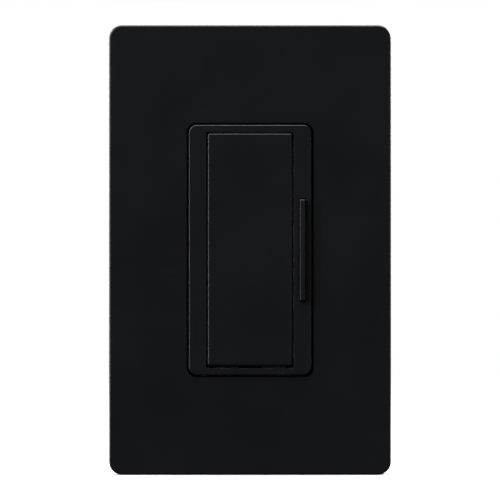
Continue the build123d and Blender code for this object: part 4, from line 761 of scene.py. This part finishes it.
class DIMMER_OT_terminal_metal(bpy.types.Operator):
    """Models the ridged wire clamps and the paddle's spring, and dresses the terminals and contacts"""

    bl_idname = "dimmer.terminal_metal"
    bl_label = "Terminal metal"

    def execute(self, context):
        sizes, colours = context.scene.dimmer_sizes, context.scene.dimmer_colours
        brass = plated_metal("bright_brass", tuple(colours.brass), 0.26)
        put_on(brass, "terminal_brackets", "air_gap_leaf", "air_gap_contact")
        tin = plated_metal("dull_tin", (0.62, 0.62, 0.60), 0.42)
        put_on(tin, "switch_cover_plates", "switch_legs")
        self.spring(sizes)
        places = []
        for name in ("line", "load", "companion"):
            low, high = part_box(f"{name}_terminal_screw")
            middle = (low + high) / 2
            side = 1 if middle.x > 0 else -1
            seat = side * (abs(high.x if side > 0 else low.x) - sizes.terminal_head)
            places.append(((seat, middle.y, middle.z), (side, 0, 0)))
        blank = self.clamp(sizes)
        placed(blank, "ridged_clamps", places, "clamp_plates", tin)
        return {"FINISHED"}

    def spring(self, sizes):
        """The paddle's spring, wound as a coil to fill the CAD spring's place."""
        low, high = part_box("paddle_spring")
        middle, wire = (low + high) / 2, sizes.spring_wire
        seat = Vector((middle.x, high.y, middle.z))
        blank = coil((high.x - low.x) / 2 - wire, wire, high.y - low.y - 2 * wire, SPRING_TURNS)
        steel = plated_metal("spring_wire", (0.52, 0.52, 0.53), 0.25)
        piece = placed(blank, "wound_spring", [(seat, (0, -1, 0))], "paddle_spring", steel)
        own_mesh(piece)

    def clamp(self, sizes):
        """A square plate under the origin, with rounded corners, a screw hole and gripping ridges."""
        side, thick = sizes.clamp_side, sizes.clamp_thickness
        plate = block((0, 0, -thick / 2), (side, side, thick))
        merge(plate, cylinder(side * CLAMP_ROUND, -1.5 * thick, 0.5 * thick, sides=64), "INTERSECT")
        merge(plate, cylinder(sizes.shank_radius + CLAMP_PLAY, -2 * thick, 2 * thick), "DIFFERENCE")
        grooves = int(side / sizes.ridge_pitch)
        vee = sizes.ridge_height * 1.4
        for face in (0, -thick):
            for number in range(grooves):
                offset = (number - (grooves - 1) / 2) * sizes.ridge_pitch
                # the middle of the plate stays flat under the screw's head
                if abs(offset) < 2 * sizes.ridge_pitch:
                    continue
                groove = block((0, offset, face), (side * 1.2, vee, vee), rotation=(pi / 4, 0, 0))
                merge(plate, groove, "DIFFERENCE")
        with_modifier(plate, "BEVEL", width=0.05 * MM, segments=2, limit_method="ANGLE")
        return plate


class DIMMER_OT_electronics(bpy.types.Operator):
    """Dresses the circuit board and everything on it"""

    bl_idname = "dimmer.electronics"
    bl_label = "Electronics"

    def execute(self, context):
        colours = context.scene.dimmer_colours
        put_on(solder_mask("green_mask", tuple(colours.board)), "circuit_board")
        put_on(pressed_fibre("insulating_paper", (0.20, 0.20, 0.19), (0.34, 0.34, 0.32)), "insulating_sheet")
        resin = moulded_plastic("switch_resin", (0.014, 0.014, 0.015), 0.42, 0.01 * MM)
        put_on(resin, "tap_switch_housing", "raise_switch_housing", "lower_switch_housing")
        plunger = moulded_plastic("plunger_resin", (0.11, 0.045, 0.02), 0.40, 0.01 * MM)
        put_on(plunger, "tap_switch_plunger", "raise_switch_plunger", "lower_switch_plunger")
        put_on(triac_package("triac_package", "triac"), "triac")
        put_on(pressed_fibre("thermal_pad", (0.24, 0.25, 0.27), (0.36, 0.37, 0.40)), "triac_pad")
        put_on(coated_core("yellow_core", (0.62, 0.43, 0.05)), "choke_core")
        put_on(enamelled_copper("coil_copper", (0.78, 0.30, 0.13)), "choke_winding")
        film = moulded_plastic("film_box", (0.36, 0.30, 0.06), 0.34, 0.01 * MM, mottle=0.2)
        put_on(film, "film_capacitor")
        put_on(capacitor_can("sleeved_can", "electrolytic_capacitor"), "electrolytic_capacitor")
        put_on(legged_chip("chip", "microcontroller"), "microcontroller")
        put_on(capped_fuse("capped_tube", "fuse"), "fuse")
        put_on(banded_resistors("banded_bodies"), "resistors")
        return {"FINISHED"}


class DIMMER_OT_stage(bpy.types.Operator):
    """Adds the studio: floor, world, soft lights and the camera"""

    bl_idname = "dimmer.stage"
    bl_label = "Stage"

    def execute(self, context):
        sizes, colours = context.scene.dimmer_sizes, context.scene.dimmer_colours
        self.floor(sizes, colours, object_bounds()[0].z - 0.02 * MM)
        self.world(context.scene)
        for light in LIGHTS:
            self.light(*light)
        self.camera(context.scene, sizes)
        return {"FINISHED"}

    def floor(self, sizes, colours, height):
        """A pale disc that fades out before its rim."""
        radius = sizes.floor_size / 2
        bpy.ops.object.select_all(action="DESELECT")
        disc = {"vertices": 96, "radius": radius, "fill_type": "NGON"}
        bpy.ops.mesh.primitive_circle_add(location=(0, 0, height), **disc)
        floor = bpy.context.object
        floor.name = "studio_floor"
        bpy.ops.object.transform_apply(location=True, rotation=True, scale=True)
        finish = Finish("pale_floor")
        far = (finish.x * finish.x + finish.y * finish.y) ** 0.5
        fade = far.below(0.6 * radius, 0.35 * radius)
        cloud = finish.noise(0.5, 2.0)
        tone = finish.shade(tuple(colours.floor), 0.98 + 0.04 * cloud)
        floor.data.materials.append(finish.surface(tone, roughness=0.8, alpha=fade))
        # the floor doesn't light the object, whose dark faces would turn grey
        floor.visible_diffuse = floor.visible_glossy = False
        floor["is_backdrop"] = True

    def world(self, scene):
        """White to the eye, dim as a source of light, so that dark faces stay dark."""
        scene.world = bpy.data.worlds.new("studio")
        scene.world.use_nodes = True
        tree = scene.world.node_tree
        tree.nodes.clear()
        seen = tree.nodes.new("ShaderNodeLightPath").outputs["Is Camera Ray"]
        parts = []
        for shade in (WORLD_LIGHT, 1.0):
            part = tree.nodes.new("ShaderNodeBackground")
            part.inputs["Color"].default_value = (shade, shade, shade, 1)
            parts.append(part.outputs[0])
        mixed = tree.nodes.new("ShaderNodeMixShader")
        for socket, source in zip(mixed.inputs, (seen, *parts)):
            tree.links.new(source, socket)
        tree.links.new(mixed.outputs[0], tree.nodes.new("ShaderNodeOutputWorld").inputs["Surface"])
        scene.view_settings.view_transform = "Standard"

    def light(self, name, place, power, width, height):
        lamp = bpy.data.lights.new(name, "AREA")
        lamp.shape, lamp.energy = "RECTANGLE", power
        lamp.size, lamp.size_y = width, height
        item = bpy.data.objects.new(name, lamp)
        bpy.context.scene.collection.objects.link(item)
        item.location = place
        item.rotation_euler = (-Vector(place)).to_track_quat("-Z", "Y").to_euler()

    def camera(self, scene, sizes):
        """Straight on, with a long lens."""
        lens = bpy.data.cameras.new("front")
        lens.sensor_width = 36
        half = atan(sizes.view_height / 2 / sizes.view_distance)
        lens.lens = lens.sensor_width / 2 / tan(half)
        lens.clip_start, lens.clip_end = 0.05, 20
        camera = bpy.data.objects.new("front", lens)
        scene.collection.objects.link(camera)
        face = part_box("wallplate_cover")[0].y
        camera.location = (0, face - sizes.view_distance, 0)
        camera.rotation_euler = (pi / 2, 0, 0)
        scene.camera = camera


STEPS = (
    DIMMER_OT_front_plastics,
    DIMMER_OT_yoke,
    DIMMER_OT_housing,
    DIMMER_OT_mounting_screws,
    DIMMER_OT_terminal_screws,
    DIMMER_OT_terminal_metal,
    DIMMER_OT_electronics,
    DIMMER_OT_stage,
)


class DIMMER_PT_panel(bpy.types.Panel):
    """Lists the sizes, the colours and the operators"""

    bl_label = "Wall Dimmer"
    bl_idname = "DIMMER_PT_panel"
    bl_space_type = "VIEW_3D"
    bl_region_type = "UI"
    bl_category = "Dimmer"

    def draw(self, context):
        for group in (context.scene.dimmer_sizes, context.scene.dimmer_colours):
            box = self.layout.box()
            for name in group.bl_rna.properties.keys():
                if name not in ("rna_type", "name"):
                    box.prop(group, name)
        for step in STEPS:
            self.layout.operator(step.bl_idname)


CLASSES = (DimmerSizes, DimmerColours, *STEPS, DIMMER_PT_panel)


def register():
    for item in CLASSES:
        bpy.utils.register_class(item)
    bpy.types.Scene.dimmer_sizes = bpy.props.PointerProperty(type=DimmerSizes)
    bpy.types.Scene.dimmer_colours = bpy.props.PointerProperty(type=DimmerColours)


def unregister():
    del bpy.types.Scene.dimmer_sizes
    del bpy.types.Scene.dimmer_colours
    for item in reversed(CLASSES):
        bpy.utils.unregister_class(item)


def main():
    register()
    for step in STEPS:
        group, name = step.bl_idname.split(".")
        getattr(getattr(bpy.ops, group), name)()


if __name__ == "__main__":
    main()
